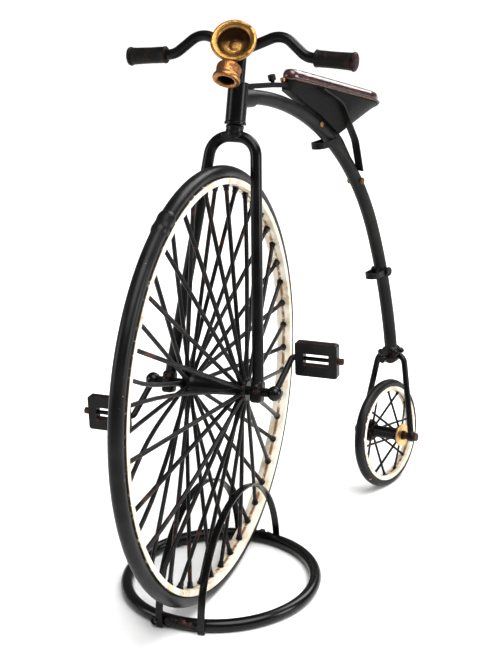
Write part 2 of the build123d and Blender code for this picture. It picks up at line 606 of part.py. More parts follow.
def saddle(spine):
    """The padded top, the steel pan with its keel, and the two stays under the tail."""
    nose, back, up = Saddle.nose, Saddle.back, Saddle.up
    top = extrude(saddle_outline(0), SADDLE_THICKNESS)
    top = fillet(top.faces().sort_by(Axis.Z)[-1].edges(), SADDLE_EDGE)
    nodes["saddle_top"] = steered(Saddle.plane.location * Pos(0, 0, SADDLE_SEAM_GAP) * top)

    section = make_face(Polyline((-PAN_TOP_HALF, 0), (-PAN_KEEL_HALF, -PAN_DEPTH),
                                 (PAN_KEEL_HALF, -PAN_DEPTH), (PAN_TOP_HALF, 0), close=True))
    keel = extrude(Plane.YZ * section, SADDLE_LENGTH) & extrude(saddle_outline(PAN_INSET), -PAN_DEPTH)
    tail = nose + back * SADDLE_LENGTH
    side_view = [nose + up, nose - up * PAN_NOSE_DEPTH, Backbone.at(PAN_KEEL_FRONT),
                 Backbone.at(PAN_KEEL_BACK, PAN_KEEL_LIFT), tail - up * PAN_TAIL_DEPTH, tail + up]
    keel = (Saddle.plane.location * keel) & side_prism(side_view, 4 * PAN_TOP_HALF)
    keel -= bent_bar(Backbone.bend(), BACKBONE_DIAMETER + 2 * PAN_CLEARANCE)

    foot = Backbone.at(STAY_FOOT, Backbone.radius + STAY_THICKNESS / 2 + SEAT)
    tip = nose + back * STAY_TIP - up * (STAY_THICKNESS / 2)
    points = [foot, Backbone.at(*STAY_KNEE), Backbone.at(*STAY_RISE), tip]
    leaf = strip(points, STAY_CURVE, STAY_THICKNESS, STAY_WIDTH)
    above_seam = Box(*[2 * SADDLE_LENGTH] * 3, align=(Align.CENTER, Align.CENTER, Align.MIN))
    for name, side in SIDES.items():
        stay = Pos(0, side * (STAY_WIDTH + STAY_APART) / 2, 0) * leaf
        stay = stay.rotate(Axis(foot, Vector(1, 0, 0)), -side * STAY_SPREAD)
        stay -= Saddle.plane.location * above_seam
        nodes[f"saddle_stay_{name}"] = steered(stay - spine)
        keel -= stay
    nodes["saddle_pan"] = steered(keel)


def bracket():
    """The flat spring bracket that carries the saddle's nose, with its bolt and rivet."""
    nose = Saddle.nose
    root = head_point(-HEAD_DIAMETER / 2, 0, HEAD_TOP - BRACKET_TOP_GAP)
    knee = nose + Vector(BRACKET_KNEE[0], 0, -BRACKET_KNEE[1])
    end = nose + Vector(BRACKET_END[0], 0, -BRACKET_END[1])
    inside_head = root + (root - knee).normalized()
    bar = strip([inside_head, knee, end], BRACKET_CURVE, BRACKET_THICKNESS, BRACKET_WIDTH)
    bar = bar - on_head(rod((0, 0, HEAD_BOTTOM), (0, 0, HEAD_TOP), HEAD_DIAMETER)) - straight("head_lug")
    nodes["saddle_pan"] = steered(straight("saddle_pan") - bar)
    nodes["saddle_bracket"] = steered(bar)

    shank, head, head_length = BRACKET_BOLT
    seat = Vector(nose.X + BRACKET_BOLT_AHEAD, 0, nose.Z)
    lift = Vector(sin(Saddle.slope / 2), 0, cos(Saddle.slope / 2))
    head_start = seat + lift * BRACKET_BOLT_SHANK
    bolt = rod(seat, head_start, shank) + rod(head_start, head_start + lift * head_length, head)
    rivet_middle = nose + Vector(BRACKET_RIVET_AHEAD, 0, 0)
    rivet_half = Vector(0, 0, BRACKET_RIVET[1] / 2)
    rivet = rod(rivet_middle - rivet_half, rivet_middle + rivet_half, BRACKET_RIVET[0])
    nodes["bracket_bolt"] = steered(bolt - bar)
    nodes["bracket_rivet"] = steered(rivet - bar)


def cross_bolt(centre, shank, head, head_length, sink=HEAD_SINK):
    """A bolt across the backbone with a head at each side."""
    half = Backbone.radius - sink
    bolt = Pos(*centre) * axle_disc(shank / 2, -half, half)
    for side in SIDES.values():
        bolt += Pos(*centre) * axle_disc(head / 2, side * half, side * (half + head_length))
    return bolt


def step_strap(middle, reach):
    """A flat strap, level, from one side of the backbone round its front to the other side."""
    half = Backbone.radius + STEP_THICKNESS / 2 - STEP_SINK
    path = FilletPolyline((-STEP_BEHIND, half), (reach, half), (reach, -half), (-STEP_BEHIND, -half),
                          radius=STEP_BEND)
    return Pos(*middle) * extrude(trace(path, STEP_THICKNESS), STEP_WIDTH / 2, both=True)


def steps_and_bolts(spine):
    stay_bolt = cross_bolt(Backbone.at(STAY_BOLT_PLACE), *STAY_BOLT)
    rivet = cross_bolt(Backbone.at(STEP_RIVET_PLACE), *STEP_RIVET)
    step_bolt = cross_bolt(Backbone.tail_at(STEP_BOLT_PLACE), *STEP_BOLT, sink=STEP_SINK - STEP_THICKNESS)
    bolts = stay_bolt + rivet + step_bolt
    upper = step_strap(Backbone.at(UPPER_STEP_PLACE), UPPER_STEP_REACH)
    lower = step_strap(Backbone.tail_at(STEP_BOLT_PLACE), LOWER_STEP_REACH)
    nodes["upper_step"] = steered(upper - spine - bolts)
    nodes["lower_step"] = steered(lower - spine - bolts)
    nodes["stay_bolt"] = steered(stay_bolt)
    nodes["step_rivet"] = steered(rivet)
    nodes["step_bolt"] = steered(step_bolt)
    for name in ("backbone", "saddle_pan", "saddle_stay_left", "saddle_stay_right"):
        nodes[name] = steered(straight(name) - bolts)


def spoke_face(radius):
    """How far the outer spokes reach to the wider side, at a radius of the front wheel."""
    row = max(DRUM_MIDDLE.values()) + SPOKE_ROW_STEP / 2
    run = RIM_INNER_RADIUS - DRUM_RADIUS / 2
    return row * (RIM_INNER_RADIUS - radius) / run + SPOKE_DIAMETER / 2 * sqrt(1 + (row / run) ** 2)


def stand():
    """A round ring on the floor and two half hoops that keep the wheel upright."""
    tube = RING_TUBE / 2
    nodes["stand_ring"] = Pos(0, 0, tube) * Torus(RING_RADIUS, tube)
    hoop_top = RING_RADIUS + tube + HOOP_THICKNESS + HOOP_BASE
    inner_edge = spoke_face(WHEEL_RADIUS - hoop_top) + HOOP_CLEARANCE
    plane = inner_edge + HOOP_WIDTH / 2
    ring_edge_squared = (RING_RADIUS + tube) ** 2 - inner_edge ** 2
    inner = sqrt(ring_edge_squared + (tube - HOOP_BASE) ** 2) + SEAT
    outer = inner + HOOP_THICKNESS
    above_floor = Box(*[4 * outer] * 3, align=(Align.CENTER, Align.CENTER, Align.MIN))
    for name, side in SIDES.items():
        band = axle_disc(outer, -HOOP_WIDTH / 2, HOOP_WIDTH / 2) - axle_disc(inner, -HOOP_WIDTH, HOOP_WIDTH)
        nodes[f"stand_hoop_{name}"] = Pos(0, side * plane, HOOP_BASE) * (band & above_floor)


front_wheel()
knees = {name: crank_and_pedal(name, side) for name, side in SIDES.items()}
lamp(fork())
spine = head_and_backbone()
rear_fork(spine)
rear_wheel()
saddle(spine)
bracket()
steps_and_bolts(spine)
stand()

for name, shape in nodes.items():
    export_step(shape, f"parts/{name}.step")
for name, knee in knees.items():
    print(f"pedal_{name} spindle", [round(v, 3) for v in knee])
print("rear axle", [round(v, 3) for v in steered(Vertex(*rear_axle_point())).center()])
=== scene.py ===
import bmesh
import bpy
import json
import random
from math import atan2, cos, pi, radians, sin, sqrt, tan
from mathutils import Matrix, Vector, noise


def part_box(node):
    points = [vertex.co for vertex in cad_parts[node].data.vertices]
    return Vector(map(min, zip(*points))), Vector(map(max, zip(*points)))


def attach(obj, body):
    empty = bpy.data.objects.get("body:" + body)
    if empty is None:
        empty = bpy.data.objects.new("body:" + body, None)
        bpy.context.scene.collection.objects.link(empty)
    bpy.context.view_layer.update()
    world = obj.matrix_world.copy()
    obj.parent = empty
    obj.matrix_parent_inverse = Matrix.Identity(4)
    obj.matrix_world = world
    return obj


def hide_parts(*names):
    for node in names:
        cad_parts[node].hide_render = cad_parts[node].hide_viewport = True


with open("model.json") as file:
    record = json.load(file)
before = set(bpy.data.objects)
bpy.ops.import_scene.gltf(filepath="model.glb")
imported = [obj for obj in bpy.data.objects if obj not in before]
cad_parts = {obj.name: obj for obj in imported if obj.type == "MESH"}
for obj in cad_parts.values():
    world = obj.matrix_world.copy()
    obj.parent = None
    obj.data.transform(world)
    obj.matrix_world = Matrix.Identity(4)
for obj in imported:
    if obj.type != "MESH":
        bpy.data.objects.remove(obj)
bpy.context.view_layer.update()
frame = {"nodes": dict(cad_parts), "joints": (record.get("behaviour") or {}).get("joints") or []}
MM = 0.001

# ---- Places and sizes that the frame gives, in metres
joints = {joint["name"]: joint for joint in frame["joints"]}
HUB = Vector(joints["front_wheel_spin"]["pos_m"])
WHEEL_AXIS = Vector((0, 1, 0))
HEAD_AXIS = Vector(joints["steering"]["axis"]).normalized()
REAR_HUB = Vector(joints["rear_wheel_spin"]["pos_m"])
REAR_AXIS = Vector(joints["rear_wheel_spin"]["axis"]).normalized()
WHEEL_RADIUS = HUB.z
RAKE = atan2(-HEAD_AXIS.x, HEAD_AXIS.z)
STEER = radians(16)
SIDES = {"left": 1, "right": -1}

# ---- Sizes of the pieces made here, in millimetres, as the frame's own pieces have them
TYRE_RADIUS = 5.0
RIM_WIDTH, RIM_INNER, RIM_WALL = 11.0, 137.5, 4.5
REAR_WHEEL_RADIUS = 43.7
REAR_TYRE_RADIUS = 3.7
REAR_RIM_WIDTH, REAR_RIM_INNER, REAR_RIM_WALL = 8.0, 35.2, 3.6
SPOKES_PER_SIDE, SPOKE_RADIUS = 24, 1.5
SPOKE_ROWS = {"left": (24.0, 21.0), "right": (19.5, 16.5)}
DRUM_RADIUS = 7.5
REAR_SPOKES_PER_SIDE, REAR_SPOKE_RADIUS = 7, 0.9
REAR_DRUM_RADIUS, REAR_DRUM_MIDDLE = 6.4, 12.4
BLADE_RADIUS, BLADE_FOOT, BLADE_TOP_HALF, BLADE_TOP = 3.9, 32.6, 15.8, 170.0
BAR_RADIUS, BAR_AHEAD, BAR_BEND = 3.6, 2.0, 14.0
BAR_MIDDLE, BAR_PEAK, BAR_DROP, BAR_END = (0, 227), (29.5, 239.5), (48, 224.1), (80, 222.1)
BACKBONE_RADIUS, BEND_RADIUS, TAIL_RADIUS = 5.0, 172.0, 400.0
BEND_START, BEND_END, TAIL_END = 7.2, 76.0, 91.0
LUG_HEIGHT, SET_BACK = 195.6, 6.6
SADDLE_LENGTH, SADDLE_SLOPE = 108.0, radians(19.5)
SADDLE_NOSE, SADDLE_TAIL = 8.0, 21.5
SADDLE_BEHIND, SADDLE_ABOVE = 49.0, 4.6
RING_RADIUS, RING_TUBE = 67.1, 4.35

HEAD = Matrix.Translation(HUB) @ Matrix.Rotation(-RAKE, 4, "Y")
TURN = Matrix.Translation(HUB) @ Matrix.Rotation(-STEER, 4, HEAD_AXIS) @ Matrix.Translation(-HUB)


def aim(origin, direction, turn=0.0):
    """A place at origin whose Z axis points along direction."""
    spin = Vector(direction).to_track_quat("Z", "Y").to_matrix().to_4x4()
    return Matrix.Translation(origin) @ spin @ Matrix.Rotation(turn, 4, "Z")


def head_point(ahead, across, height):
    return HEAD @ (Vector((ahead, across, height)) * MM)


def steered(point):
    return TURN @ point


# ---------------------------------------------------------------- mesh tools

def lathe(bm, outline, place, steps=48, closed=False, angle=2 * pi):
    """Spins an outline of (radius, height) pairs, in millimetres, round a place's Z axis."""
    verts = [bm.verts.new(place @ Vector((r * MM, 0, z * MM))) for r, z in outline]
    pairs = list(zip(verts, verts[1:])) + ([(verts[-1], verts[0])] if closed else [])
    edges = [bm.edges.new(pair) for pair in pairs]
    before = set(bm.faces)
    bmesh.ops.spin(bm, geom=verts + edges, cent=place.translation, axis=place.col[2].xyz,
                   angle=angle, steps=steps, use_merge=angle >= 2 * pi, use_duplicate=False)
    made = {v for f in set(bm.faces) - before for v in f.verts}
    bmesh.ops.remove_doubles(bm, verts=list(made), dist=0.002 * MM)
    return [v for v in made if v.is_valid]


def circle_outline(centre, radius, count, start=0.0, squash=1.0):
    turns = [start + 2 * pi * k / count for k in range(count)]
    return [(centre + radius * cos(t), radius * squash * sin(t)) for t in turns]


def tube(bm, path, radii, sides=16):
    """A closed round bar along a path of points, with one radius (metres) for each."""
    directions = [(b - a).normalized() for a, b in zip(path, path[1:])]
    tangents = [directions[0]] + [(a + b).normalized() for a, b in zip(directions, directions[1:])]
    tangents.append(directions[-1])
    frames = [aim(path[0], tangents[0])]
    for old, new, point in zip(tangents, tangents[1:], path[1:]):
        swing = old.rotation_difference(new).to_matrix().to_4x4()
        turned = swing @ frames[-1].to_quaternion().to_matrix().to_4x4()
        frames.append(Matrix.Translation(point) @ turned)
    frames = [f @ Matrix.Scale(r, 4) for f, r in zip(frames, radii)]
    ring = bmesh.ops.create_circle(bm, cap_ends=True, radius=1, segments=sides, matrix=frames[0])["verts"]
    edges = list({e for v in ring for e in v.link_edges})
    for old, new in zip(frames, frames[1:]):
        grown = bmesh.ops.extrude_edge_only(bm, edges=edges)["geom"]
        ring = [g for g in grown if isinstance(g, bmesh.types.BMVert)]
        members = set(ring)
        edges = [g for g in grown if isinstance(g, bmesh.types.BMEdge) and set(g.verts) <= members]
        bmesh.ops.transform(bm, matrix=new @ old.inverted(), verts=ring)
    bmesh.ops.edgeloop_fill(bm, edges=edges)


def eased(path, radius, edge):
    """Adds stations at both ends of a path, so that the bar's ends have eased edges."""
    first, last = (path[1] - path[0]).normalized(), (path[-2] - path[-1]).normalized()
    start = [path[0], path[0] + first * edge * 0.3, path[0] + first * edge]
    end = [path[-1] + last * edge, path[-1] + last * edge * 0.3, path[-1]]
    taper = [radius - edge, radius - edge * 0.3]
    radii = taper + [radius] * len(path) + taper[::-1]
    return start + path[1:-1] + end, radii


def bent(corners, radius, steps=9):
    """The middle line of a bar with straight runs and one arc at each inner corner."""
    line = [corners[0]]
    for a, b, c in zip(corners, corners[1:], corners[2:]):
        into, out = (b - a).normalized(), (c - b).normalized()
        turn = into.angle(out)
        setback = radius * tan(turn / 2)
        start = b - into * setback
        axis = into.cross(out).normalized()
        centre = start + axis.cross(into) * radius
        for k in range(steps + 1):
            line.append(centre + Matrix.Rotation(turn * k / steps, 3, axis) @ (start - centre))
    line.append(corners[-1])
    return line


def lump(bm, centre, size, rough, seed, squash=(1, 1, 1)):
    """A rough bead of weld."""
    place = Matrix.Translation(centre) @ Matrix.Diagonal((*squash, 1))
    verts = bmesh.ops.create_icosphere(bm, subdivisions=3, radius=size, matrix=place)["verts"]
    for v in verts:
        push = noise.noise((v.co / size + Vector((seed, 0, 0))) * 1.6)
        v.co += (v.co - centre).normalized() * push * rough


def piece(name, bm, body, material, replaces=(), sharp=38):
    """Turns a bmesh into a finished piece that rides on a body."""
    bmesh.ops.recalc_face_normals(bm, faces=bm.faces)
    mesh = bpy.data.meshes.new(name)
    bm.to_mesh(mesh)
    bm.free()
    mesh.polygons.foreach_set("use_smooth", [True] * len(mesh.polygons))
    mesh.set_sharp_from_angle(angle=radians(sharp))
    mesh.materials.append(material)
    obj = bpy.data.objects.new(name, mesh)
    bpy.context.scene.collection.objects.link(obj)
    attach(obj, body)
    if replaces:
        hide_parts(*replaces)
    return obj


def eased_copy(node, name, body, material, width=0.35, angle=35):
    """A frame piece again, its sharp edges eased with a small round."""
    bm = bmesh.new()
    bm.from_mesh(frame["nodes"][node].data)
    bmesh.ops.remove_doubles(bm, verts=bm.verts, dist=0.005 * MM)
    bmesh.ops.dissolve_limit(bm, angle_limit=radians(1.0), verts=bm.verts, edges=bm.edges)
    obj = piece(name, bm, body, material, [node])
    bevel = obj.modifiers.new("eased_edges", "BEVEL")
    bevel.width, bevel.segments, bevel.limit_method = width * MM, 2, "ANGLE"
    bevel.angle_limit = radians(angle)
    bevel.harden_normals = True
    return obj


# ---------------------------------------------------------------- materials

class Nodes:
    """A short way to write a node tree."""

    def __init__(self, name):
        self.material = bpy.data.materials.new(name)
        self.material.use_nodes = True
        self.tree = self.material.node_tree
        self.shader = self.tree.nodes["Principled BSDF"]
        self.place = self.add("ShaderNodeTexCoord").outputs["Object"]

    def add(self, kind, inputs=None, **settings):
        node = self.tree.nodes.new(kind)
        for key, value in settings.items():
            setattr(node, key, value)
        for key, value in (inputs or {}).items():
            self.feed(value, node.inputs[key])
        return node

    def feed(self, value, socket):
        if isinstance(value, bpy.types.NodeSocket):
            self.tree.links.new(value, socket)
        else:
            socket.default_value = value

    def noise(self, size, detail=3.0, rough=0.55, place=None, stretch=None):
        """Noise whose blotches are about size millimetres across."""
        source = place or self.place
        if stretch:
            source = self.add("ShaderNodeMapping", {"Vector": source, "Scale": stretch}).outputs[0]
        node = self.add("ShaderNodeTexNoise", {"Vector": source, "Scale": 1 / (size * MM), "Detail": detail,
                                               "Roughness": rough})
        return node.outputs["Fac"]

    def ramp(self, value, low, high):
        node = self.add("ShaderNodeMapRange", {"Value": value, "From Min": low, "From Max": high})
        node.interpolation_type = "SMOOTHSTEP"
        return node.outputs["Result"]

    def scale(self, value, low, high):
        node = self.add("ShaderNodeMapRange", {"Value": value, "To Min": low, "To Max": high})
        return node.outputs["Result"]

    def math(self, operation, a, b=0.0):
        return self.add("ShaderNodeMath", {0: a, 1: b}, operation=operation).outputs[0]

    def mix(self, factor, a, b):
        node = self.add("ShaderNodeMix", data_type="RGBA")
        self.feed(factor, node.inputs[0])
        self.feed(a, node.inputs[6])
        self.feed(b, node.inputs[7])
        return node.outputs[2]

    def edges(self, width):
        """Near 1 along convex edges, from the difference that rounding them would make."""
        rounded = self.add("ShaderNodeBevel", {"Radius": width * MM}, samples=4).outputs["Normal"]
        normal = self.add("ShaderNodeNewGeometry").outputs["Normal"]
        same = self.add("ShaderNodeVectorMath", {0: rounded, 1: normal}, operation="DOT_PRODUCT")
        return self.ramp(same.outputs["Value"], 0.995, 0.9)

    def bump(self, height, depth, strength=1.0):
        node = self.add("ShaderNodeBump", {"Height": height, "Distance": depth * MM, "Strength": strength})
        self.feed(node.outputs["Normal"], self.shader.inputs["Normal"])

    def finish(self, color, rough, **constants):
        self.feed(color, self.shader.inputs["Base Color"])
        self.feed(rough, self.shader.inputs["Roughness"])
        for key, value in constants.items():
            self.shader.inputs[key.replace("_", " ")].default_value = value
        return self.material


def rgb(r, g, b):
    return (r, g, b, 1.0)


def enamel(name, base, tone, worn, wear, rough, bump=0.05, edge=None, coat=0.12):
    """Hand-brushed paint over steel: uneven tone, worn patches and worn edges."""
    n = Nodes(name)
    broad, fine = n.noise(22, 4), n.noise(1.6, 3)
    color = n.mix(n.ramp(broad, 0.38, 0.68), base, tone)
    patches = n.ramp(n.noise(9, 6, 0.7), wear, wear + 0.06)
    if edge:
        rubbed = n.math("MULTIPLY", n.edges(edge), n.ramp(n.noise(5, 5, 0.65), 0.42, 0.6))
        patches = n.math("MAXIMUM", patches, rubbed)
    color = n.mix(patches, color, worn)
    roughness = n.math("ADD", n.scale(broad, rough - 0.08, rough + 0.1), n.math("MULTIPLY", patches, 0.2))
    n.bump(n.math("ADD", fine, n.math("MULTIPLY", broad, 0.6)), bump)
    return n.finish(color, roughness, Coat_Weight=coat, Coat_Roughness=0.15, Specular_IOR_Level=0.2)


def wheel_place(n, hub, axis):
    """Distance from a wheel's axle and distance to its side, in metres."""
    away = n.add("ShaderNodeVectorMath", {0: n.place, 1: hub}, operation="SUBTRACT").outputs[0]
    side = n.add("ShaderNodeVectorMath", {0: away, 1: axis}, operation="DOT_PRODUCT").outputs["Value"]
    long = n.add("ShaderNodeVectorMath", {0: away}, operation="LENGTH").outputs["Value"]
    square = n.math("SUBTRACT", n.math("MULTIPLY", long, long), n.math("MULTIPLY", side, side))
    return n.math("SQRT", square), side


def cream_rim(name, hub, axis, inner, width):
    """Aged cream paint with a broken brown line along the spoke ends and flakes down to the black."""
    n = Nodes(name)
    radial, side = wheel_place(n, hub, axis)
    cream = n.mix(n.ramp(n.noise(14, 4), 0.4, 0.75), rgb(0.84, 0.79, 0.68), rgb(0.60, 0.50, 0.35))
    stain = n.ramp(n.noise(45, 4, 0.6), 0.52, 0.66)
    speckled = n.math("MULTIPLY", stain, n.ramp(n.noise(3, 6, 0.75), 0.42, 0.62))
    cream = n.mix(speckled, cream, rgb(0.34, 0.23, 0.12))
    line = n.ramp(n.math("ABSOLUTE", side), 1.7 * MM, 0.5 * MM)
    line = n.math("MULTIPLY", line, n.ramp(radial, (inner + 0.6) * MM, (inner + 0.2) * MM))
    line = n.math("MULTIPLY", line, n.ramp(n.noise(7, 5, 0.7), 0.38, 0.52))
    color = n.mix(line, cream, rgb(0.27, 0.13, 0.045))
    flakes = n.ramp(n.noise(6, 8, 0.75), 0.67, 0.69)
    color = n.mix(flakes, color, rgb(0.06, 0.035, 0.02))
    outer = inner + RIM_WALL * width / RIM_WIDTH
    groove = n.ramp(radial, (outer - 0.6) * MM, outer * MM)
    shadow = n.math("MULTIPLY", groove, n.ramp(n.noise(5, 4), 0.3, 0.45))
    color = n.mix(shadow, color, rgb(0.05, 0.04, 0.03))
    n.bump(n.math("SUBTRACT", n.noise(2.2, 5, 0.65), n.math("MULTIPLY", flakes, 0.8)), 0.16)
    return n.finish(color, n.scale(n.noise(8, 3), 0.42, 0.62), Coat_Weight=0.1)


def spoke_enamel(name, hub, axis, inner, outer, rust):
    """Black rods that are rubbed red-brown towards the rim."""
    n = Nodes(name)
    radial, _ = wheel_place(n, hub, axis)
    blotch = n.noise(9, 5, 0.7)
    toward = n.math("MULTIPLY", n.ramp(radial, inner * MM, outer * MM), rust)
    rubbed = n.ramp(n.math("ADD", blotch, toward), 0.62, 0.76)
    black = n.mix(n.ramp(n.noise(16, 2), 0.4, 0.65), rgb(0.004, 0.004, 0.0045), rgb(0.014, 0.012, 0.012))
    color = n.mix(rubbed, black, rgb(0.075, 0.032, 0.022))
    n.bump(n.noise(1.2, 3), 0.05)
    return n.finish(color, n.scale(blotch, 0.28, 0.48), Coat_Weight=0.08, Coat_Roughness=0.2,
                    Specular_IOR_Level=0.2)


def tyre_rubber(name, size):
    n = Nodes(name)
    broad = n.noise(30, 3)
    color = n.mix(n.ramp(broad, 0.38, 0.66), rgb(0.006, 0.006, 0.0065), rgb(0.017, 0.016, 0.016))
    nick = n.ramp(n.noise(5.5 * size, 2, 0.4), 0.745, 0.765)
    color = n.mix(nick, color, rgb(0.30, 0.16, 0.09))
    n.bump(n.math("SUBTRACT", n.noise(3, 5, 0.6), nick), 0.09)
    return n.finish(color, n.scale(n.noise(12, 4), 0.25, 0.45), Coat_Weight=0.05, Coat_Roughness=0.3,
                    Specular_IOR_Level=0.22)


def antique_brass(name, gold, dark, grime_and_shade_strength, centre=None, facing=None):
    """Cast brass, darker in unpolished patches; given a centre and facing, also with painted shade on the
    upper inside of the bowl.
    """
    n = Nodes(name)
    patches = n.noise(6, 7, 0.68)
    grime_and_shade = n.ramp(patches, 0.46, 0.72)
    # Painted shade: the upper part of the dish behind its rim plane is darkened, as a bowl lit from above
    # would be.
    if centre is not None:
        away = n.add("ShaderNodeVectorMath", {0: n.place, 1: centre}, operation="SUBTRACT").outputs[0]
        deep = n.add("ShaderNodeVectorMath", {0: away, 1: facing}, operation="DOT_PRODUCT").outputs["Value"]
        high = n.add("ShaderNodeSeparateXYZ", {0: away}).outputs[2]
        sunk = n.ramp(deep, -0.3 * MM, -2.0 * MM)
        upper = n.ramp(n.math("ADD", high, n.scale(patches, -4 * MM, 4 * MM)), -7 * MM, 0 * MM)
        grime_and_shade = n.math("MAXIMUM", grime_and_shade, n.math("MULTIPLY", sunk, upper))
    grime_and_shade = n.math("MULTIPLY", grime_and_shade, grime_and_shade_strength)
    color = n.mix(grime_and_shade, gold, dark)
    color = n.mix(n.ramp(n.noise(2.2, 4, 0.6), 0.6, 0.75), color, dark)
    n.bump(n.math("ADD", n.noise(1.4, 4, 0.6), n.math("MULTIPLY", patches, 1.5)), 0.22)
    return n.finish(color, n.math("ADD", n.scale(patches, 0.22, 0.5), n.math("MULTIPLY", grime_and_shade, 0.15)),
                    Metallic=0.95)


def saddle_leather(name):
    n = Nodes(name)
    cells = n.add("ShaderNodeTexVoronoi", {"Vector": n.place, "Scale": 1 / (1.1 * MM)}).outputs["Distance"]
    broad = n.noise(18, 4)
    color = n.mix(n.ramp(broad, 0.36, 0.7), rgb(0.026, 0.008, 0.009), rgb(0.075, 0.024, 0.024))
    color = n.mix(n.ramp(n.noise(7, 6, 0.7), 0.62, 0.72), color, rgb(0.12, 0.05, 0.028))
    n.bump(n.math("ADD", cells, n.noise(5, 3)), 0.06)
    return n.finish(color, n.scale(broad, 0.22, 0.36), Coat_Weight=0.9, Coat_Roughness=0.14)


def worn_leather_edge(name):
    n = Nodes(name)
    color = n.mix(n.ramp(n.noise(4, 5, 0.7), 0.4, 0.62), rgb(0.030, 0.012, 0.009), rgb(0.12, 0.055, 0.028))
    n.bump(n.noise(1.0, 4), 0.12)
    return n.finish(color, n.scale(n.noise(6), 0.4, 0.65), Coat_Weight=0.1)


def grip_rubber(name, end_color):
    n = Nodes(name)
    grain = n.noise(1.3, 4, 0.65)
    color = n.mix(n.ramp(n.noise(8, 5, 0.65), 0.42, 0.68), rgb(0.006, 0.0055, 0.0055), end_color)
    n.bump(n.math("ADD", grain, n.math("MULTIPLY", n.noise(5, 3), 0.8)), 0.2)
    return n.finish(color, n.scale(grain, 0.38, 0.62), Specular_IOR_Level=0.2)


def floor_paint(name):
    n = Nodes(name)
    color = n.mix(n.noise(120, 2), rgb(0.93, 0.93, 0.925), rgb(0.96, 0.96, 0.96))
    return n.finish(color, 0.7)


BLACK, CHARCOAL = rgb(0.003, 0.003, 0.0035), rgb(0.013, 0.012, 0.012)
RUST, BROWN = rgb(0.16, 0.036, 0.012), rgb(0.060, 0.026, 0.015)
fork_black = enamel("fork_black", BLACK, rgb(0.009, 0.008, 0.008), rgb(0.045, 0.020, 0.014), 0.67, 0.3,
                    edge=0.5)
frame_charcoal = enamel("frame_charcoal", rgb(0.007, 0.007, 0.0075), rgb(0.018, 0.017, 0.016), BROWN,
                        0.67, 0.42, bump=0.08, edge=0.6, coat=0.05)
chipped_black = enamel("chipped_black", BLACK, CHARCOAL, RUST, 0.64, 0.36, bump=0.12, edge=0.9)
stand_black = enamel("stand_black", BLACK, rgb(0.007, 0.007, 0.0075), BROWN, 0.73, 0.24,
                     bump=0.07, edge=0.5, coat=0.3)
pan_black = enamel("pan_black", rgb(0.0025, 0.0025, 0.0025), rgb(0.006, 0.0055, 0.005), BROWN, 0.76, 0.55,
                   bump=0.25, coat=0.0)
rusty_steel = enamel("rusty_steel", rgb(0.035, 0.014, 0.010), rgb(0.10, 0.034, 0.02),
                     rgb(0.015, 0.012, 0.011), 0.55, 0.42, bump=0.12)
brass_plain = antique_brass("brass_plain", rgb(0.36, 0.19, 0.065), rgb(0.05, 0.020, 0.008), 0.85)
front_tyre_rubber = tyre_rubber("front_tyre_rubber", 1.0)
rear_tyre_rubber = tyre_rubber("rear_tyre_rubber", 0.8)
front_rim_cream = cream_rim("front_rim_cream", HUB, WHEEL_AXIS, RIM_INNER, RIM_WIDTH)
rear_rim_cream = cream_rim("rear_rim_cream", REAR_HUB, REAR_AXIS, REAR_RIM_INNER, REAR_RIM_WIDTH)
front_spoke_black = spoke_enamel("front_spoke_black", HUB, WHEEL_AXIS, 30, 150, 0.12)
rear_spoke_black = spoke_enamel("rear_spoke_black", REAR_HUB, REAR_AXIS, 5, 40, 0.08)
leather = saddle_leather("maroon_leather")
dark_brass = antique_brass("dark_brass", rgb(0.17, 0.09, 0.035), rgb(0.02, 0.009, 0.004), 0.9)
disc_brass = antique_brass("disc_brass", rgb(0.78, 0.50, 0.24), rgb(0.20, 0.09, 0.035), 0.6)
leather_edge = worn_leather_edge("tan_edge_leather")
grip_black = grip_rubber("grip_black", rgb(0.022, 0.013, 0.010))
cap_red = grip_rubber("cap_red", rgb(0.050, 0.014, 0.009))


# ---------------------------------------------------------------- wheels

def wheel_rings(name, hub, axis, wheel_radius, tyre, inner, wall, width, body, rubber, cream, nodes, steps):
    """Tyre and grooved rim of one wheel."""
    place = aim(hub, axis)
    centre = wheel_radius - tyre
    bm = bmesh.new()
    verts = lathe(bm, circle_outline(centre, tyre, 28), place, steps, closed=True)
    for v in verts:
        away = v.co - hub
        v.co += away.normalized() * noise.noise(away * 22) * 0.12 * MM
    piece(f"{name}_tyre_tube", bm, body, rubber, [nodes[0]])

    outer, half, edge = inner + wall, width / 2, 0.45
    reach = sqrt((tyre + 0.03) ** 2 - (outer - centre) ** 2)
    groove = []
    for k in range(13):
        turn = pi - atan2(reach, centre - outer) + 2 * atan2(reach, centre - outer) * k / 12
        groove.append((centre + (tyre + 0.03) * cos(turn), (tyre + 0.03) * sin(turn)))
    outline = [(inner + edge, half), (inner + 0.12, half - 0.14), (inner, half - edge),
               (inner, -half + edge), (inner + 0.12, -half + 0.14), (inner + edge, -half),
               (outer - 0.3, -half), (outer, -half + 0.3)]
    outline += [p for p in sorted(groove, key=lambda p: p[1])] + [(outer, half - 0.3), (outer - 0.3, half)]
    bm = bmesh.new()
    lathe(bm, outline, place, steps, closed=True)
    piece(f"{name}_cream_rim", bm, body, cream, [nodes[1]])


def spoke_line(place, turn, start, row, inner, bow, steps=8):
    """Middle line of one spoke from its drum to the rim, bowed along the wheel's turn."""
    turned = place @ Matrix.Rotation(turn, 4, "Z")
    root, tip = Vector((start, 0, row)) * MM, Vector((inner - 0.6, 0, 0)) * MM
    across = Vector((0, 1, 0))
    line = []
    for k in range(steps + 1):
        share = k / steps
        line.append(turned @ (root.lerp(tip, share) + across * bow * MM * sin(pi * share ** 1.4)))
    return line


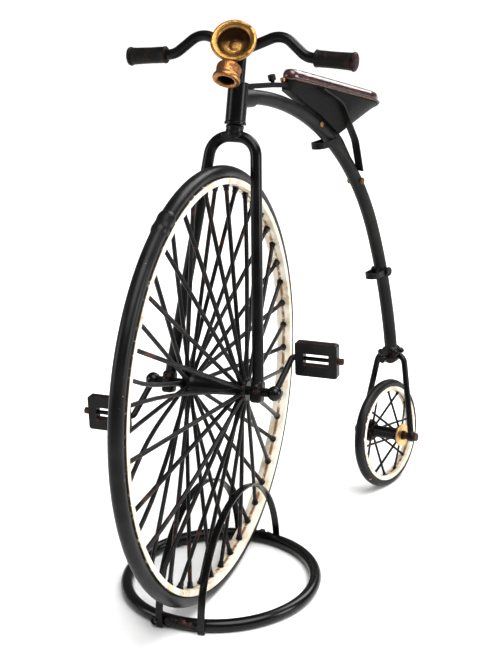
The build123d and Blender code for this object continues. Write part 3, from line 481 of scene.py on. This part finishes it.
def nipple(bm, tip, along, radius, length, seed):
    """The lump that holds a spoke's end to the rim."""
    outline = [(0, 0), (radius * 0.72, 0.05), (radius * 0.8, 0.4), (radius * 0.86, length * 0.5),
               (radius * (1.02 + 0.1 * seed), length * 0.78), (radius * 1.1, length * 0.95), (0, length)]
    lathe(bm, outline, aim(tip - along * length * MM, along), 10)


def front_spokes():
    chance = random.Random(7)
    place = aim(HUB, WHEEL_AXIS)
    strong = {("left", 14): 4.2, ("left", 11): -3.2, ("left", 4): -2.4, ("left", 19): 2.0,
              ("right", 12): -6.5, ("right", 13): 5.0, ("right", 10): 3.0}
    for name, side in SIDES.items():
        rods, ends = bmesh.new(), bmesh.new()
        for k in range(SPOKES_PER_SIDE):
            turn = 2 * pi / SPOKES_PER_SIDE * (k + (0.5 if side < 0 else 0))
            row = side * SPOKE_ROWS[name][k % 2]
            bow = strong.get((name, k), chance.uniform(-0.55, 0.55))
            line = spoke_line(place, turn, DRUM_RADIUS * 0.6, row, RIM_INNER, bow)
            radius = SPOKE_RADIUS * chance.uniform(0.94, 1.04) * MM
            tube(rods, line, [radius] * len(line), 10)
            along = (line[-1] - line[-2]).normalized()
            nipple(ends, line[-1] + along * 0.5 * MM, along, 2.3, 4.4, chance.uniform(-1, 1))
        piece(f"spokes_{name}", rods, "front_wheel", front_spoke_black,
              [f"front_spokes_{name}"])
        piece(f"spoke_ends_{name}", ends, "front_wheel", fork_black,
              [f"front_nipples_{name}"])


def rear_spokes():
    chance = random.Random(3)
    place = aim(REAR_HUB, REAR_AXIS)
    start = atan2(*[(place.inverted() @ (REAR_HUB + TURN.to_3x3() @ Vector((1, 0, 0))))[i] for i in (1, 0)])
    rods, ends = bmesh.new(), bmesh.new()
    for side in SIDES.values():
        for k in range(REAR_SPOKES_PER_SIDE):
            turn = start - 2 * pi / REAR_SPOKES_PER_SIDE * (k + (0.5 if side < 0 else 0))
            bow = chance.uniform(-0.5, 0.5)
            line = spoke_line(place, turn, REAR_DRUM_RADIUS * 0.6, side * REAR_DRUM_MIDDLE, REAR_RIM_INNER,
                              bow, 6)
            tube(rods, line, [REAR_SPOKE_RADIUS * MM] * len(line), 8)
            along = (line[-1] - line[-2]).normalized()
            nipple(ends, line[-1] + along * 0.5 * MM, along, 1.4, 2.5, chance.uniform(-1, 1))
    piece("small_spokes", rods, "rear_wheel", rear_spoke_black, ["rear_spokes"])
    piece("small_spoke_ends", ends, "rear_wheel", fork_black, ["rear_nipples"])


def front_hub():
    """Barrel that tapers between two spoke drums, with rough weld where the spokes go in."""
    place = aim(HUB, WHEEL_AXIS)
    left_drum = [(3.1, 25.7), (6.5, 25.9), (7.4, 25.2), (7.5, 24.0), (7.1, 22.5), (7.5, 21.0), (7.3, 19.8)]
    barrel = [(5.6, 18.9), (4.5, 17.0), (4.6, 12.0), (5.4, 0.0), (6.5, -11.5), (7.0, -13.6)]
    right_drum = [(7.6, -14.6), (7.9, -15.6), (7.6, -16.8), (7.2, -18.0), (7.5, -19.4), (7.4, -20.6),
                  (6.6, -21.2), (3.1, -21.1)]
    bm = bmesh.new()
    lathe(bm, left_drum + barrel + right_drum, place, 56, closed=True)
    piece("wheel_hub", bm, "front_wheel", fork_black, ["front_hub"])
    chance = random.Random(11)
    beads = bmesh.new()
    for name, side in SIDES.items():
        for row in SPOKE_ROWS[name]:
            for k in range(12):
                turn = 2 * pi * (k + chance.uniform(-0.2, 0.2)) / 12
                spot = HUB + Vector((cos(turn) * 7.2, side * row, sin(turn) * 7.2)) * MM
                lump(beads, spot, chance.uniform(1.5, 2.0) * MM, 0.4 * MM, k + row)
    piece("hub_weld_beads", beads, "front_wheel", chipped_black)


def tyre_sleeve():
    """The short sleeve that joins the tyre's ends, with a lip at each edge and a clinch."""
    low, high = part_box("tyre_sleeve")
    middle = (low + high) / 2 - HUB
    spread = radians(7.0)
    bm = bmesh.new()
    centre = (WHEEL_RADIUS / MM - TYRE_RADIUS) * MM
    first = atan2(middle.z, middle.x)
    path, radii = [], []
    for k, grow in enumerate((0.05, 0.75, 0.95, 0.8, 0.62, 0.6, 0.62, 0.8, 0.95, 0.75, 0.05)):
        turn = first + spread * (k / 10 - 0.5)
        path.append(HUB + Vector((cos(turn), 0, sin(turn))) * centre)
        radii.append((TYRE_RADIUS + grow) * MM)
    tube(bm, path, radii, 32)
    spot = path[4] + (HUB - path[4]).normalized() * 1.2 * MM + Vector((0, 5.0, 0)) * MM
    lump(bm, spot, 2.0 * MM, 0.7 * MM, 2.0, (1, 0.7, 1))
    piece("tyre_joint_sleeve", bm, "front_wheel", front_tyre_rubber, ["tyre_sleeve"])


wheel_rings("front", HUB, WHEEL_AXIS, WHEEL_RADIUS / MM, TYRE_RADIUS, RIM_INNER, RIM_WALL, RIM_WIDTH,
            "front_wheel", front_tyre_rubber, front_rim_cream, ("front_tyre", "front_rim"), 192)
wheel_rings("rear", REAR_HUB, REAR_AXIS, REAR_WHEEL_RADIUS, REAR_TYRE_RADIUS, REAR_RIM_INNER, REAR_RIM_WALL,
            REAR_RIM_WIDTH, "rear_wheel", rear_tyre_rubber, rear_rim_cream, ("rear_tyre", "rear_rim"), 120)
front_spokes()
rear_spokes()
front_hub()
tyre_sleeve()


# ---------------------------------------------------------------- fork, bar and lamp

def fork_legs():
    feet = [(0, side * BLADE_FOOT, 3.75) for side in SIDES.values()]
    tops = [(0, side * BLADE_TOP_HALF, BLADE_TOP) for side in SIDES.values()]
    corners = [head_point(*p) for p in (feet[0], tops[0], tops[1], feet[1])]
    path, radii = eased(bent(corners, 14 * MM, 14), BLADE_RADIUS * MM, 0.4 * MM)
    bm = bmesh.new()
    tube(bm, path, radii, 28)
    piece("fork_legs", bm, "fork", fork_black, ["fork_blades"])

    bm = bmesh.new()
    outline = [(0, 168.3), (5.4, 168.4), (6.3, 169.6), (6.5, 171.6), (6.1, 173.4), (5.9, 175.2),
               (6.3, 176.6), (5.7, 177.6), (0, 177.7)]
    lathe(bm, outline, HEAD, 40)
    for k, (ahead, across) in enumerate(((4.6, 4.6), (4.6, -4.8), (-4.6, 4.2), (-4.4, -4.6))):
        lump(bm, head_point(ahead, across, 170.4), 2.3 * MM, 0.7 * MM, k, (1, 1.2, 0.8))
    piece("fork_crown_casting", bm, "fork", fork_black, ["fork_crown"])


def handlebar():
    half = [head_point(BAR_AHEAD, y, z) for y, z in (BAR_PEAK, BAR_DROP, BAR_END)]
    mirrored = [head_point(BAR_AHEAD, -y, z) for y, z in (BAR_END, BAR_DROP, BAR_PEAK)]
    corners = mirrored + [head_point(BAR_AHEAD, *BAR_MIDDLE)] + half
    path = bent(corners, BAR_BEND * MM, 12)
    bm = bmesh.new()
    tube(bm, path, [BAR_RADIUS * MM] * len(path), 28)
    piece("bent_bar", bm, "fork", fork_black, ["handlebar"])
    for name, side in SIDES.items():
        end = head_point(BAR_AHEAD, side * BAR_END[0], BAR_END[1])
        inward = (head_point(BAR_AHEAD, side * BAR_DROP[0], BAR_DROP[1]) - end).normalized()
        waist = [(3.65, 26.0), (5.3, 26.0), (5.85, 25.5), (5.9, 24.6), (5.6, 24.0), (5.6, 21), (5.5, 15),
                 (5.6, 8), (5.75, 3), (5.9, 1.0), (5.8, 0.3), (5.2, 0.05), (3.65, 0.05)]
        bm = bmesh.new()
        lathe(bm, waist, aim(end, inward), 40, closed=True)
        piece(f"grip_sleeve_{name}", bm, "fork", grip_black, [f"grip_{name}"])
        dome = [(0, 0), (5.9, 0.0), (6.45, 0.5), (6.5, 1.3), (6.1, 2.2), (5.0, 2.8), (2.6, 3.05), (0, 3.1)]
        bm = bmesh.new()
        lathe(bm, dome, aim(end, -inward), 40)
        material = cap_red if side > 0 else grip_black
        piece(f"grip_end_{name}", bm, "fork", material, [f"grip_cap_{name}"])


def lamp():
    tilt, turn, centre = radians(38), radians(16), head_point(15, 0, 232.0)
    facing = Vector((cos(tilt) * cos(turn), cos(tilt) * sin(turn), sin(tilt)))
    back = [(0, -8.9), (3.6, -8.7), (7.2, -7.6), (10.4, -5.6), (12.6, -2.8)]
    rim = [(13.6, -1.7), (14.7, -1.4), (15.4, -0.7), (15.6, 0.2), (15.3, 1.0), (14.5, 1.45), (13.4, 1.3),
           (12.3, 0.7), (11.4, 0.3), (10.9, -0.3)]
    inside = [(10.6, -1.3), (9.9, -2.8), (8.4, -4.6), (6.2, -6.0), (4.2, -6.7), (3.6, -6.5), (2.8, -6.1),
              (1.5, -5.9), (0, -5.9)]
    bm = bmesh.new()
    verts = lathe(bm, back + rim + inside, aim(centre, facing), 72)
    for v in verts:
        away = v.co - centre
        v.co += facing * noise.noise(away * 130) * 0.3 * MM + away * noise.noise(away * 90) * 0.018
    # The dish's brass has painted shade on the upper inside of the bowl.
    material = antique_brass("dish_brass_painted_shade", rgb(0.42, 0.24, 0.080), rgb(0.020, 0.008, 0.003), 0.95,
                             centre, facing)
    piece("lamp_bowl", bm, "fork", material, ["lamp_dish"])

    lean, mouth = radians(49), head_point(22.5, 0, 203.7)
    out = Vector((cos(lean), 0, -sin(lean)))
    can = [(0, -12.9), (5.6, -12.8), (7.4, -12.2), (8.3, -10.8), (8.5, -9.0), (8.2, -6.0), (8.2, -4.4),
           (8.9, -3.5), (9.4, -2.6), (9.5, -1.4), (9.1, -0.4), (8.2, 0.0), (6.6, -0.1), (5.8, -0.6),
           (5.6, -1.4), (5.6, -8.0), (0, -8.0)]
    bm = bmesh.new()
    lathe(bm, can, aim(mouth, out), 56)
    material = antique_brass("burner_brass", rgb(0.42, 0.21, 0.08), rgb(0.07, 0.026, 0.010), 0.9)
    piece("lamp_can", bm, "fork", material, ["lamp_burner"])
    # A near-black sleeve lining the burner's bore: painted shade that makes the hole read dark.
    bm = bmesh.new()
    lining = [(0, -7.6), (4.4, -7.7), (5.45, -7.2), (5.52, -1.5), (5.40, -1.5), (5.3, -7.0), (4.2, -7.45),
              (0, -7.4)]
    lathe(bm, lining, aim(mouth, out), 48)
    bore_shade = enamel("burner_bore_shade", rgb(0.004, 0.004, 0.004), rgb(0.012, 0.009, 0.007), BROWN, 0.8, 0.8,
                  coat=0.0)
    piece("burner_shade_lining", bm, "fork", bore_shade)


def drop_outs():
    """Forged blocks at the fork feet, with a dome on the front face."""
    for name, side in SIDES.items():
        bm = bmesh.new()
        place = HEAD @ Matrix.Translation(Vector((0, side * BLADE_FOOT, 0)) * MM)
        bmesh.ops.create_cube(bm, size=1, matrix=place @ Matrix.Diagonal((10 * MM, 8 * MM, 15 * MM, 1)))
        bmesh.ops.bevel(bm, geom=bm.edges[:], offset=2.2 * MM, segments=4, profile=0.5, affect="EDGES",
                        material=-1)
        dome = [(0, -1.5), (3.4, -1.5), (3.5, 0.4), (3.0, 1.7), (1.8, 2.5), (0, 2.8)]
        front = head_point(4.6, side * BLADE_FOOT, 2.4)
        lathe(bm, dome, aim(front, HEAD.to_3x3() @ Vector((1, 0, 0))), 24)
        piece(f"fork_foot_{name}", bm, "fork", chipped_black, [f"dropout_{name}"])


fork_legs()
handlebar()
lamp()
drop_outs()


# ---------------------------------------------------------------- cranks and pedal spindles

def cranks(name, side):
    """Ball on the axle's end, and the crank with its spindle out to the domed nut."""
    root = HUB + Vector((0, side * 45 * MM, 0))
    knee = Vector(joints[f"pedal_{name}_spin"]["pos_m"])
    out = Vector((0, side, 0))
    low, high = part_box(f"pedal_nut_{name}")
    tip = Vector((knee.x, high.y if side > 0 else low.y, knee.z))
    path = bent([root, knee, knee + out * 2.5 * MM + out * 0.1 * MM], 2.2 * MM, 8)
    bm = bmesh.new()
    tube(bm, path, [2.1 * MM] * len(path), 20)
    spindle = [path[-1] - out * 0.4 * MM, (path[-1] + tip) / 2, tip + out * 0.4 * MM]
    spindle, radii = eased(spindle, 1.4 * MM, 0.3 * MM)
    tube(bm, spindle, radii, 16)
    piece(f"crank_arm_{name}", bm, "front_wheel", chipped_black, [f"crank_{name}"])
    bm = bmesh.new()
    verts = bmesh.ops.create_uvsphere(bm, u_segments=32, v_segments=20, radius=5.2 * MM,
                                      matrix=Matrix.Translation(root))["verts"]
    for v in verts:
        v.co += (v.co - root).normalized() * noise.noise(v.co * 260) * 0.12 * MM
    piece(f"crank_ball_{name}", bm, "front_wheel", stand_black, [f"axle_ball_{name}"])


for name, side in SIDES.items():
    cranks(name, side)


# ---------------------------------------------------------------- backbone, small fork and saddle

def arc_point(centre, radius, angle):
    return centre + Vector((-sin(radians(angle)), 0, cos(radians(angle)))) * radius * MM


SPINE_START = head_point(0, 0, LUG_HEIGHT) - Vector((SET_BACK, 0, 0)) * MM
BEND_CENTRE = arc_point(SPINE_START, -BEND_RADIUS, BEND_START)
BEND_FOOT = arc_point(BEND_CENTRE, BEND_RADIUS, BEND_END)
TAIL_CENTRE = arc_point(BEND_FOOT, -TAIL_RADIUS, BEND_END)
SPINE_END = arc_point(TAIL_CENTRE, TAIL_RADIUS, TAIL_END)


def backbone():
    bend_sweep, tail_sweep = BEND_END - BEND_START, TAIL_END - BEND_END
    bend = [arc_point(BEND_CENTRE, BEND_RADIUS, BEND_START + bend_sweep * k / 40) for k in range(41)]
    tail = [arc_point(TAIL_CENTRE, TAIL_RADIUS, BEND_END + tail_sweep * k / 12) for k in range(1, 13)]
    path = [steered(p) for p in bend + tail]
    bm = bmesh.new()
    tube(bm, path, [BACKBONE_RADIUS * MM] * len(path), 32)
    piece("curved_backbone", bm, "rear_frame", frame_charcoal, ["backbone"])


def small_fork():
    axle = REAR_HUB
    crown = steered(SPINE_END)
    up, across = (crown - axle).normalized(), REAR_AXIS
    top = (crown - axle).length
    corners = [axle + across * 23.5 * MM, axle + across * 11.5 * MM + up * top,
               axle - across * 11.5 * MM + up * top, axle - across * 23.5 * MM]
    path, radii = eased(bent(corners, 9 * MM, 12), 2.4 * MM, 0.4 * MM)
    bm = bmesh.new()
    tube(bm, path, radii, 24)
    eye = [(2.05, -2.5), (3.6, -2.5), (4.0, -2.0), (4.1, 0), (4.0, 2.0), (3.6, 2.5), (2.05, 2.5)]
    for side in SIDES.values():
        lathe(bm, eye, aim(axle + across * side * 23.5 * MM, across), 28, closed=True)
        lump(bm, axle + across * side * 22.6 * MM + up * 3.6 * MM, 1.6 * MM, 0.4 * MM, side)
    piece("small_fork_legs", bm, "rear_frame", fork_black, ["rear_fork"])
    bm = bmesh.new()
    drum = [(0, -5.8), (5.4, -5.75), (6.8, -5.1), (7.5, -3.8), (7.6, 0), (7.5, 3.8), (6.8, 5.1), (5.4, 5.75),
            (0, 5.8)]
    lathe(bm, drum, aim(crown, TURN.to_3x3() @ Vector((1, 0, 0))), 40)
    for k, (a, b) in enumerate(((4.5, 7.0), (4.5, -7.0), (-4, 6.6), (-4, -6.6))):
        spot = crown + TURN.to_3x3() @ Vector((a * MM, b * MM, 2.0 * MM))
        lump(bm, spot, 2.4 * MM, 0.8 * MM, k)
    piece("small_crown_casting", bm, "rear_frame", chipped_black, ["rear_crown"])


SADDLE_AT = SPINE_START + Vector((-SADDLE_BEHIND, 0, SADDLE_ABOVE)) * MM
SADDLE_LEAN = Matrix.Rotation(-SADDLE_SLOPE, 4, "Y") @ Matrix.Rotation(pi, 4, "Z")
SADDLE_PLACE = TURN @ Matrix.Translation(SADDLE_AT) @ SADDLE_LEAN


def saddle_outline(inset, count):
    """Points round the saddle's plan, evenly by angle on its two round ends."""
    nose, tail = SADDLE_NOSE, SADDLE_LENGTH - SADDLE_TAIL
    lean = acos_safe((SADDLE_TAIL - SADDLE_NOSE) / (tail - nose))
    points = []
    round_ends = ((tail, SADDLE_TAIL, -pi + lean, pi - lean),
                  (nose, SADDLE_NOSE, pi - lean, pi + lean))
    for centre, radius, start, end in round_ends:
        arcs = round(count * (end - start) / (2 * pi))
        points += [(centre + (radius - inset) * cos(start + (end - start) * k / arcs),
                    (radius - inset) * sin(start + (end - start) * k / arcs)) for k in range(arcs + 1)]
    return points


def acos_safe(value):
    return atan2(sqrt(1 - value * value), value)


def run(points, step):
    """The same closed line with a point about every step."""
    line = []
    for (ax, ay), (bx, by) in zip(points, points[1:] + points[:1]):
        count = max(1, round(sqrt((bx - ax) ** 2 + (by - ay) ** 2) / step))
        line += [(ax + (bx - ax) * k / count, ay + (by - ay) * k / count) for k in range(count)]
    return line


def padded_top():
    """The leather top: blown up a little by cloth simulation, with its underside held flat."""
    bm = bmesh.new()
    verts = [bm.verts.new((x * MM, y * MM, 0.3 * MM)) for x, y in run(saddle_outline(1.6, 60), 4)]
    bm.faces.new(verts)
    grown = bmesh.ops.extrude_face_region(bm, geom=bm.faces[:])["geom"]
    top = [g for g in grown if isinstance(g, bmesh.types.BMVert)]
    bmesh.ops.translate(bm, verts=top, vec=(0, 0, 6.9 * MM))
    rim = [e for e in bm.edges if all(v in set(top) for v in e.verts)]
    bmesh.ops.bevel(bm, geom=rim, offset=3.6 * MM, segments=5, profile=0.5, affect="EDGES", material=-1)
    pad = piece("saddle_cushion", bm, "rear_frame", leather, ["saddle_top"], sharp=180)
    pad.parent = None
    remesh = pad.modifiers.new("even", "REMESH")
    remesh.mode, remesh.voxel_size = "VOXEL", 1.6 * MM
    bake(pad)
    blow_up(pad)
    for v in pad.data.vertices:
        share = min(max(v.co.z / (8 * MM), 0), 1)
        v.co.z += 1.5 * MM * share * cos(min(abs(v.co.y) / (22 * MM), 1) * pi / 2)
    pad.data.polygons.foreach_set("use_smooth", [True] * len(pad.data.polygons))
    smooth = pad.modifiers.new("round", "SUBSURF")
    smooth.levels = smooth.render_levels = 1
    bake(pad)
    pad.data.transform(SADDLE_PLACE)
    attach(pad, "rear_frame")


def bake(obj):
    """Applies an object's modifiers to its mesh."""
    graph = bpy.context.evaluated_depsgraph_get()
    mesh = bpy.data.meshes.new_from_object(obj.evaluated_get(graph))
    materials = list(obj.data.materials)
    obj.modifiers.clear()
    obj.data = mesh
    mesh.materials.clear()
    for material in materials:
        mesh.materials.append(material)


def blow_up(pad):
    rest = [v.co.copy() for v in pad.data.vertices]
    held = pad.vertex_groups.new(name="held")
    held.add([i for i, p in enumerate(rest) if p.z < 1.2 * MM], 1.0, "REPLACE")
    cloth = pad.modifiers.new("cloth", "CLOTH")
    cloth.settings.use_pressure = True
    cloth.settings.uniform_pressure_force = 4
    cloth.settings.vertex_group_mass = "held"
    cloth.settings.effector_weights.gravity = 0
    cloth.settings.quality = 6
    scene = bpy.context.scene
    for number in range(1, 21):
        scene.frame_set(number)
    graph = bpy.context.evaluated_depsgraph_get()
    moved = [v.co.copy() for v in pad.evaluated_get(graph).data.vertices]
    pad.modifiers.clear()
    scene.frame_set(1)
    for vertex, old, new in zip(pad.data.vertices, rest, moved):
        shift = new - old
        if shift.length > 2.0 * MM:
            shift = shift.normalized() * 2.0 * MM
        vertex.co = old + shift
    pad.vertex_groups.clear()


def saddle_seam():
    """Rolled leather edge round the top, and the stitches that hold it."""
    line = [SADDLE_PLACE @ Vector((x * MM, y * MM, 0.6 * MM)) for x, y in run(saddle_outline(0.7, 72), 3)]
    bm = bmesh.new()
    tube(bm, line + [line[0]], [0.6 * MM] * (len(line) + 1), 12)
    piece("saddle_rolled_edge", bm, "rear_frame", leather_edge, sharp=60)
    bm = bmesh.new()
    points = run(saddle_outline(1.5, 72), 3.2)
    for a, b in zip(points, points[1:] + points[:1]):
        start = SADDLE_PLACE @ Vector((a[0] * MM, a[1] * MM, 1.5 * MM))
        end = SADDLE_PLACE @ Vector((b[0] * MM, b[1] * MM, 1.5 * MM))
        middle, along = (start + end) / 2, (end - start)
        lift = SADDLE_PLACE.to_3x3() @ Vector((0, 0, 0.16 * MM))
        path = [middle - along * 0.32, middle - along * 0.16 + lift, middle + along * 0.16 + lift,
                middle + along * 0.32]
        tube(bm, path, [0.12 * MM, 0.24 * MM, 0.24 * MM, 0.12 * MM], 6)
    thread = grip_rubber("tan_thread", rgb(0.17, 0.09, 0.05))
    piece("saddle_stitches", bm, "rear_frame", thread)


def saddle_pan():
    """Pressed pan under the leather, folded down to a keel that sits over the backbone."""
    to_plan = SADDLE_PLACE.inverted() @ TURN
    keel_front, keel_back = [to_plan @ arc_point(BEND_CENTRE, BEND_RADIUS + lift, angle)
                             for angle, lift in ((34, 5.6), (45, 6.2))]
    ridge = [(1.6, 7.2), (keel_front.x / MM, -keel_front.z / MM), (keel_back.x / MM, -keel_back.z / MM),
             (SADDLE_LENGTH - 9.0, 8.4), (SADDLE_LENGTH - 1.2, 3.4)]
    bm = bmesh.new()
    rings = []
    stations = [1.0 + (SADDLE_LENGTH - 2.0) * k / 36 for k in range(37)]
    for s in stations:
        half = plan_half(s, 1.2)
        depth = min(keel_depth(s, ridge), spine_depth(s, to_plan))
        keel = min(4.2, half * 0.8)
        spread, drop = half - keel, depth - 0.9
        sides = [(half, 0.0), (half * 0.995, 0.9), (keel + spread * 0.55, 0.9 + drop * 0.34),
                 (keel + spread * 0.2, 0.9 + drop * 0.72), (keel, depth - 0.3), (keel - 0.5, depth)]
        outline = [(y, z) for y, z in sides] + [(-y, z) for y, z in reversed(sides)]
        verts = [bm.verts.new(SADDLE_PLACE @ (Vector((s, y, -z)) * MM)) for y, z in outline]
        rings.append([bm.edges.new((a, b)) for a, b in zip(verts, verts[1:] + verts[:1])])
    for first, second in zip(rings, rings[1:]):
        bmesh.ops.bridge_loops(bm, edges=first + second)
    for ring in (rings[0], rings[-1]):
        bmesh.ops.edgeloop_fill(bm, edges=ring)
    piece("saddle_pressed_pan", bm, "rear_frame", pan_black, ["saddle_pan"], sharp=30)


def plan_half(s, inset):
    """Half width of the saddle's plan at a distance from its nose."""
    nose, tail = SADDLE_NOSE, SADDLE_LENGTH - SADDLE_TAIL
    slope = (SADDLE_TAIL - SADDLE_NOSE) / (tail - nose)
    lean = sqrt(1 - slope * slope)
    if s < nose - slope * SADDLE_NOSE:
        return max(sqrt(max(SADDLE_NOSE ** 2 - (s - nose) ** 2, 0)) - inset, 0.4)
    if s > tail - slope * SADDLE_TAIL:
        return max(sqrt(max(SADDLE_TAIL ** 2 - (s - tail) ** 2, 0)) - inset, 0.4)
    return (SADDLE_NOSE + (s - nose) * slope) / lean - inset


def keel_depth(s, ridge):
    for (a, low), (b, high) in zip(ridge, ridge[1:]):
        if s <= b:
            share = max((s - a) / (b - a), 0)
            return low + (high - low) * share
    return ridge[-1][1]


def spine_depth(s, to_plan):
    """How far below the seam the top of the backbone runs at this distance, less a small gap."""
    best = 99.0
    for k in range(0, 60):
        point = to_plan @ arc_point(BEND_CENTRE, BEND_RADIUS + BACKBONE_RADIUS + 0.9, 10 + k)
        if abs(point.x / MM - s) < 2.2:
            best = min(best, -point.z / MM)
    return best


backbone()
small_fork()
padded_top()
saddle_seam()
saddle_pan()


# ---------------------------------------------------------------- stand

def stand():
    bm = bmesh.new()
    on_floor = Matrix.Translation((0, 0, RING_TUBE * MM))
    lathe(bm, circle_outline(RING_RADIUS, RING_TUBE, 28), on_floor, 160, closed=True)
    piece("floor_ring", bm, "stand", stand_black, ["stand_ring"])
    low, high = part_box("stand_hoop_left")
    radius, base = (high.x - low.x) / 2 / MM, low.z / MM
    strip = [(-2.5, 0.3), (-2.35, 0.06), (-2.1, 0), (2.1, 0), (2.35, 0.06), (2.5, 0.3),
             (2.5, 1.2), (2.35, 1.44), (2.1, 1.5), (-2.1, 1.5), (-2.35, 1.44), (-2.5, 1.2)]
    for name, side in SIDES.items():
        low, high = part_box(f"stand_hoop_{name}")
        middle = Vector((0, (low.y + high.y) / 2, base * MM))
        bm = bmesh.new()
        place = Matrix.Translation(middle) @ Matrix.Rotation(-pi / 2, 4, "X")
        outline = [(radius - 1.5 + out, across) for across, out in strip]
        verts = [bm.verts.new(place @ Vector((r * MM, 0, z * MM))) for r, z in outline]
        start = bm.faces.new(verts)
        bmesh.ops.spin(bm, geom=[start] + start.edges[:] + verts, cent=place.translation, axis=(0, -1, 0),
                       angle=pi, steps=64, use_merge=False, use_duplicate=False)
        bmesh.ops.remove_doubles(bm, verts=bm.verts, dist=0.005 * MM)
        piece(f"bent_hoop_{name}", bm, "stand", stand_black, [f"stand_hoop_{name}"])
    welds = bmesh.new()
    chance = random.Random(5)
    for end in (1, -1):
        for k in range(9):
            across = (k - 4) * 2.3
            spot = Vector((end * (RING_RADIUS + 2.4), across, 4.9 + chance.uniform(-1.0, 2.0))) * MM
            lump(welds, spot, chance.uniform(1.9, 2.6) * MM, 0.8 * MM, k + end)
    piece("stand_weld", welds, "stand", chipped_black)
    curl = bmesh.new()
    low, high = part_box("stand_hoop_right")
    spot = Vector((high.x - 1.0 * MM, low.y - 1.2 * MM, 4.6 * MM))
    lathe(curl, circle_outline(2.7, 0.75, 10, squash=1.4), aim(spot, (1, -0.35, 0)), 28, closed=True)
    piece("stand_curl", curl, "stand", stand_black)


stand()


# ---------------------------------------------------------------- the frame's own small pieces

def dress(node, material):
    obj = frame["nodes"][node]
    obj.data.materials.clear()
    obj.data.materials.append(material)


EASED = {
    "head_tube": ("head_tube_shell", "rear_frame", fork_black, 0.5),
    "lower_race": ("head_race", "rear_frame", fork_black, 0.4),
    "head_lug": ("backbone_lug", "rear_frame", frame_charcoal, 0.4),
    "saddle_bracket": ("spring_bracket", "rear_frame", fork_black, 0.4),
    "bracket_bolt": ("spring_bolt", "rear_frame", fork_black, 0.6),
    "saddle_stay_left": ("left_stay", "rear_frame", frame_charcoal, 0.25),
    "saddle_stay_right": ("right_stay", "rear_frame", frame_charcoal, 0.25),
    "upper_step": ("upper_step_loop", "rear_frame", fork_black, 0.3),
    "lower_step": ("lower_step_loop", "rear_frame", fork_black, 0.3),
    "pedal_left": ("left_pedal_block", "pedal_left", chipped_black, 0.7),
    "pedal_right": ("right_pedal_block", "pedal_right", chipped_black, 0.7),
    "pedal_nut_left": ("left_pedal_nut", "front_wheel", rusty_steel, 0.4),
    "pedal_nut_right": ("right_pedal_nut", "front_wheel", rusty_steel, 0.4),
    "rear_flange_left": ("left_brass_disc", "rear_wheel", disc_brass, 0.4),
    "rear_flange_right": ("right_brass_disc", "rear_wheel", rusty_steel, 0.4),
    "rear_axle": ("small_axle", "rear_frame", rusty_steel, 0.3),
    "rear_hub": ("small_hub", "rear_wheel", fork_black, 0.4),
    "crown_bolt": ("small_crown_screw", "rear_frame", fork_black, 0.4),
    "stay_bolt": ("stay_rivet", "rear_frame", dark_brass, 0.5),
    "step_bolt": ("step_washers", "rear_frame", frame_charcoal, 0.4),
    "step_rivet": ("backbone_rivet", "rear_frame", brass_plain, 0.3),
    "bracket_rivet": ("nose_rivet", "rear_frame", brass_plain, 0.3),
}
for node, (name, body, material, width) in EASED.items():
    eased_copy(node, name, body, material, width)
dress("steering_stem", fork_black)
dress("front_axle", fork_black)
dress("lamp_lug", brass_plain)


# ---------------------------------------------------------------- floor, light and camera

def floor():
    bm = bmesh.new()
    bmesh.ops.create_grid(bm, x_segments=1, y_segments=1, size=12)
    mesh = bpy.data.meshes.new("studio_floor")
    bm.to_mesh(mesh)
    bm.free()
    mesh.materials.append(floor_paint("studio_floor_paint"))
    obj = bpy.data.objects.new("studio_floor", mesh)
    bpy.context.scene.collection.objects.link(obj)


def soft_light(name, place, aim_at, size, power):
    data = bpy.data.lights.new(name, "AREA")
    data.shape, data.size, data.energy = "SQUARE", size, power
    obj = bpy.data.objects.new(name, data)
    obj.location = place
    obj.rotation_euler = (Vector(aim_at) - Vector(place)).to_track_quat("-Z", "Y").to_euler()
    bpy.context.scene.collection.objects.link(obj)


def studio():
    floor()
    world = bpy.data.worlds.new("studio")
    bpy.context.scene.world = world
    world.use_nodes = True
    world.node_tree.nodes["Background"].inputs["Color"].default_value = rgb(1, 1, 1)
    world.node_tree.nodes["Background"].inputs["Strength"].default_value = 0.22
    sky = bpy.data.lights.new("broad_soft_light", "SUN")
    sky.energy, sky.angle = 3.4, radians(50)
    obj = bpy.data.objects.new("broad_soft_light", sky)
    obj.rotation_euler = Vector((-0.25, -0.35, -1)).to_track_quat("-Z", "Y").to_euler()
    bpy.context.scene.collection.objects.link(obj)
    middle = (-0.05, 0.02, 0.2)
    soft_light("front_left", (0.55, -0.95, 0.55), middle, 0.5, 4)
    soft_light("right_side", (-0.1, 1.1, 0.45), middle, 0.4, 5)
    soft_light("behind", (-1.0, 0.45, 1.1), middle, 0.8, 14)


def camera():
    yaw, pitch, roll = radians(202.35), radians(-18.83), radians(-1.89)
    ahead = Vector((cos(pitch) * cos(yaw), cos(pitch) * sin(yaw), sin(pitch)))
    right = ahead.cross(Vector((0, 0, 1))).normalized()
    up = right.cross(ahead)
    tilted_right = right * cos(roll) + up * sin(roll)
    tilted_up = up * cos(roll) - right * sin(roll)
    data = bpy.data.cameras.new("camera")
    data.sensor_width, data.lens = 36, 77.34
    data.clip_start, data.clip_end = 0.05, 50
    obj = bpy.data.objects.new("camera", data)
    turn = Matrix((tilted_right, tilted_up, -ahead)).transposed().to_4x4()
    obj.matrix_world = Matrix.Translation((0.8228, 0.3665, 0.4971)) @ turn
    bpy.context.scene.collection.objects.link(obj)
    bpy.context.scene.camera = obj


studio()
camera()
bpy.context.scene.view_settings.view_transform = "Standard"
bpy.context.scene.view_settings.gamma = 0.84
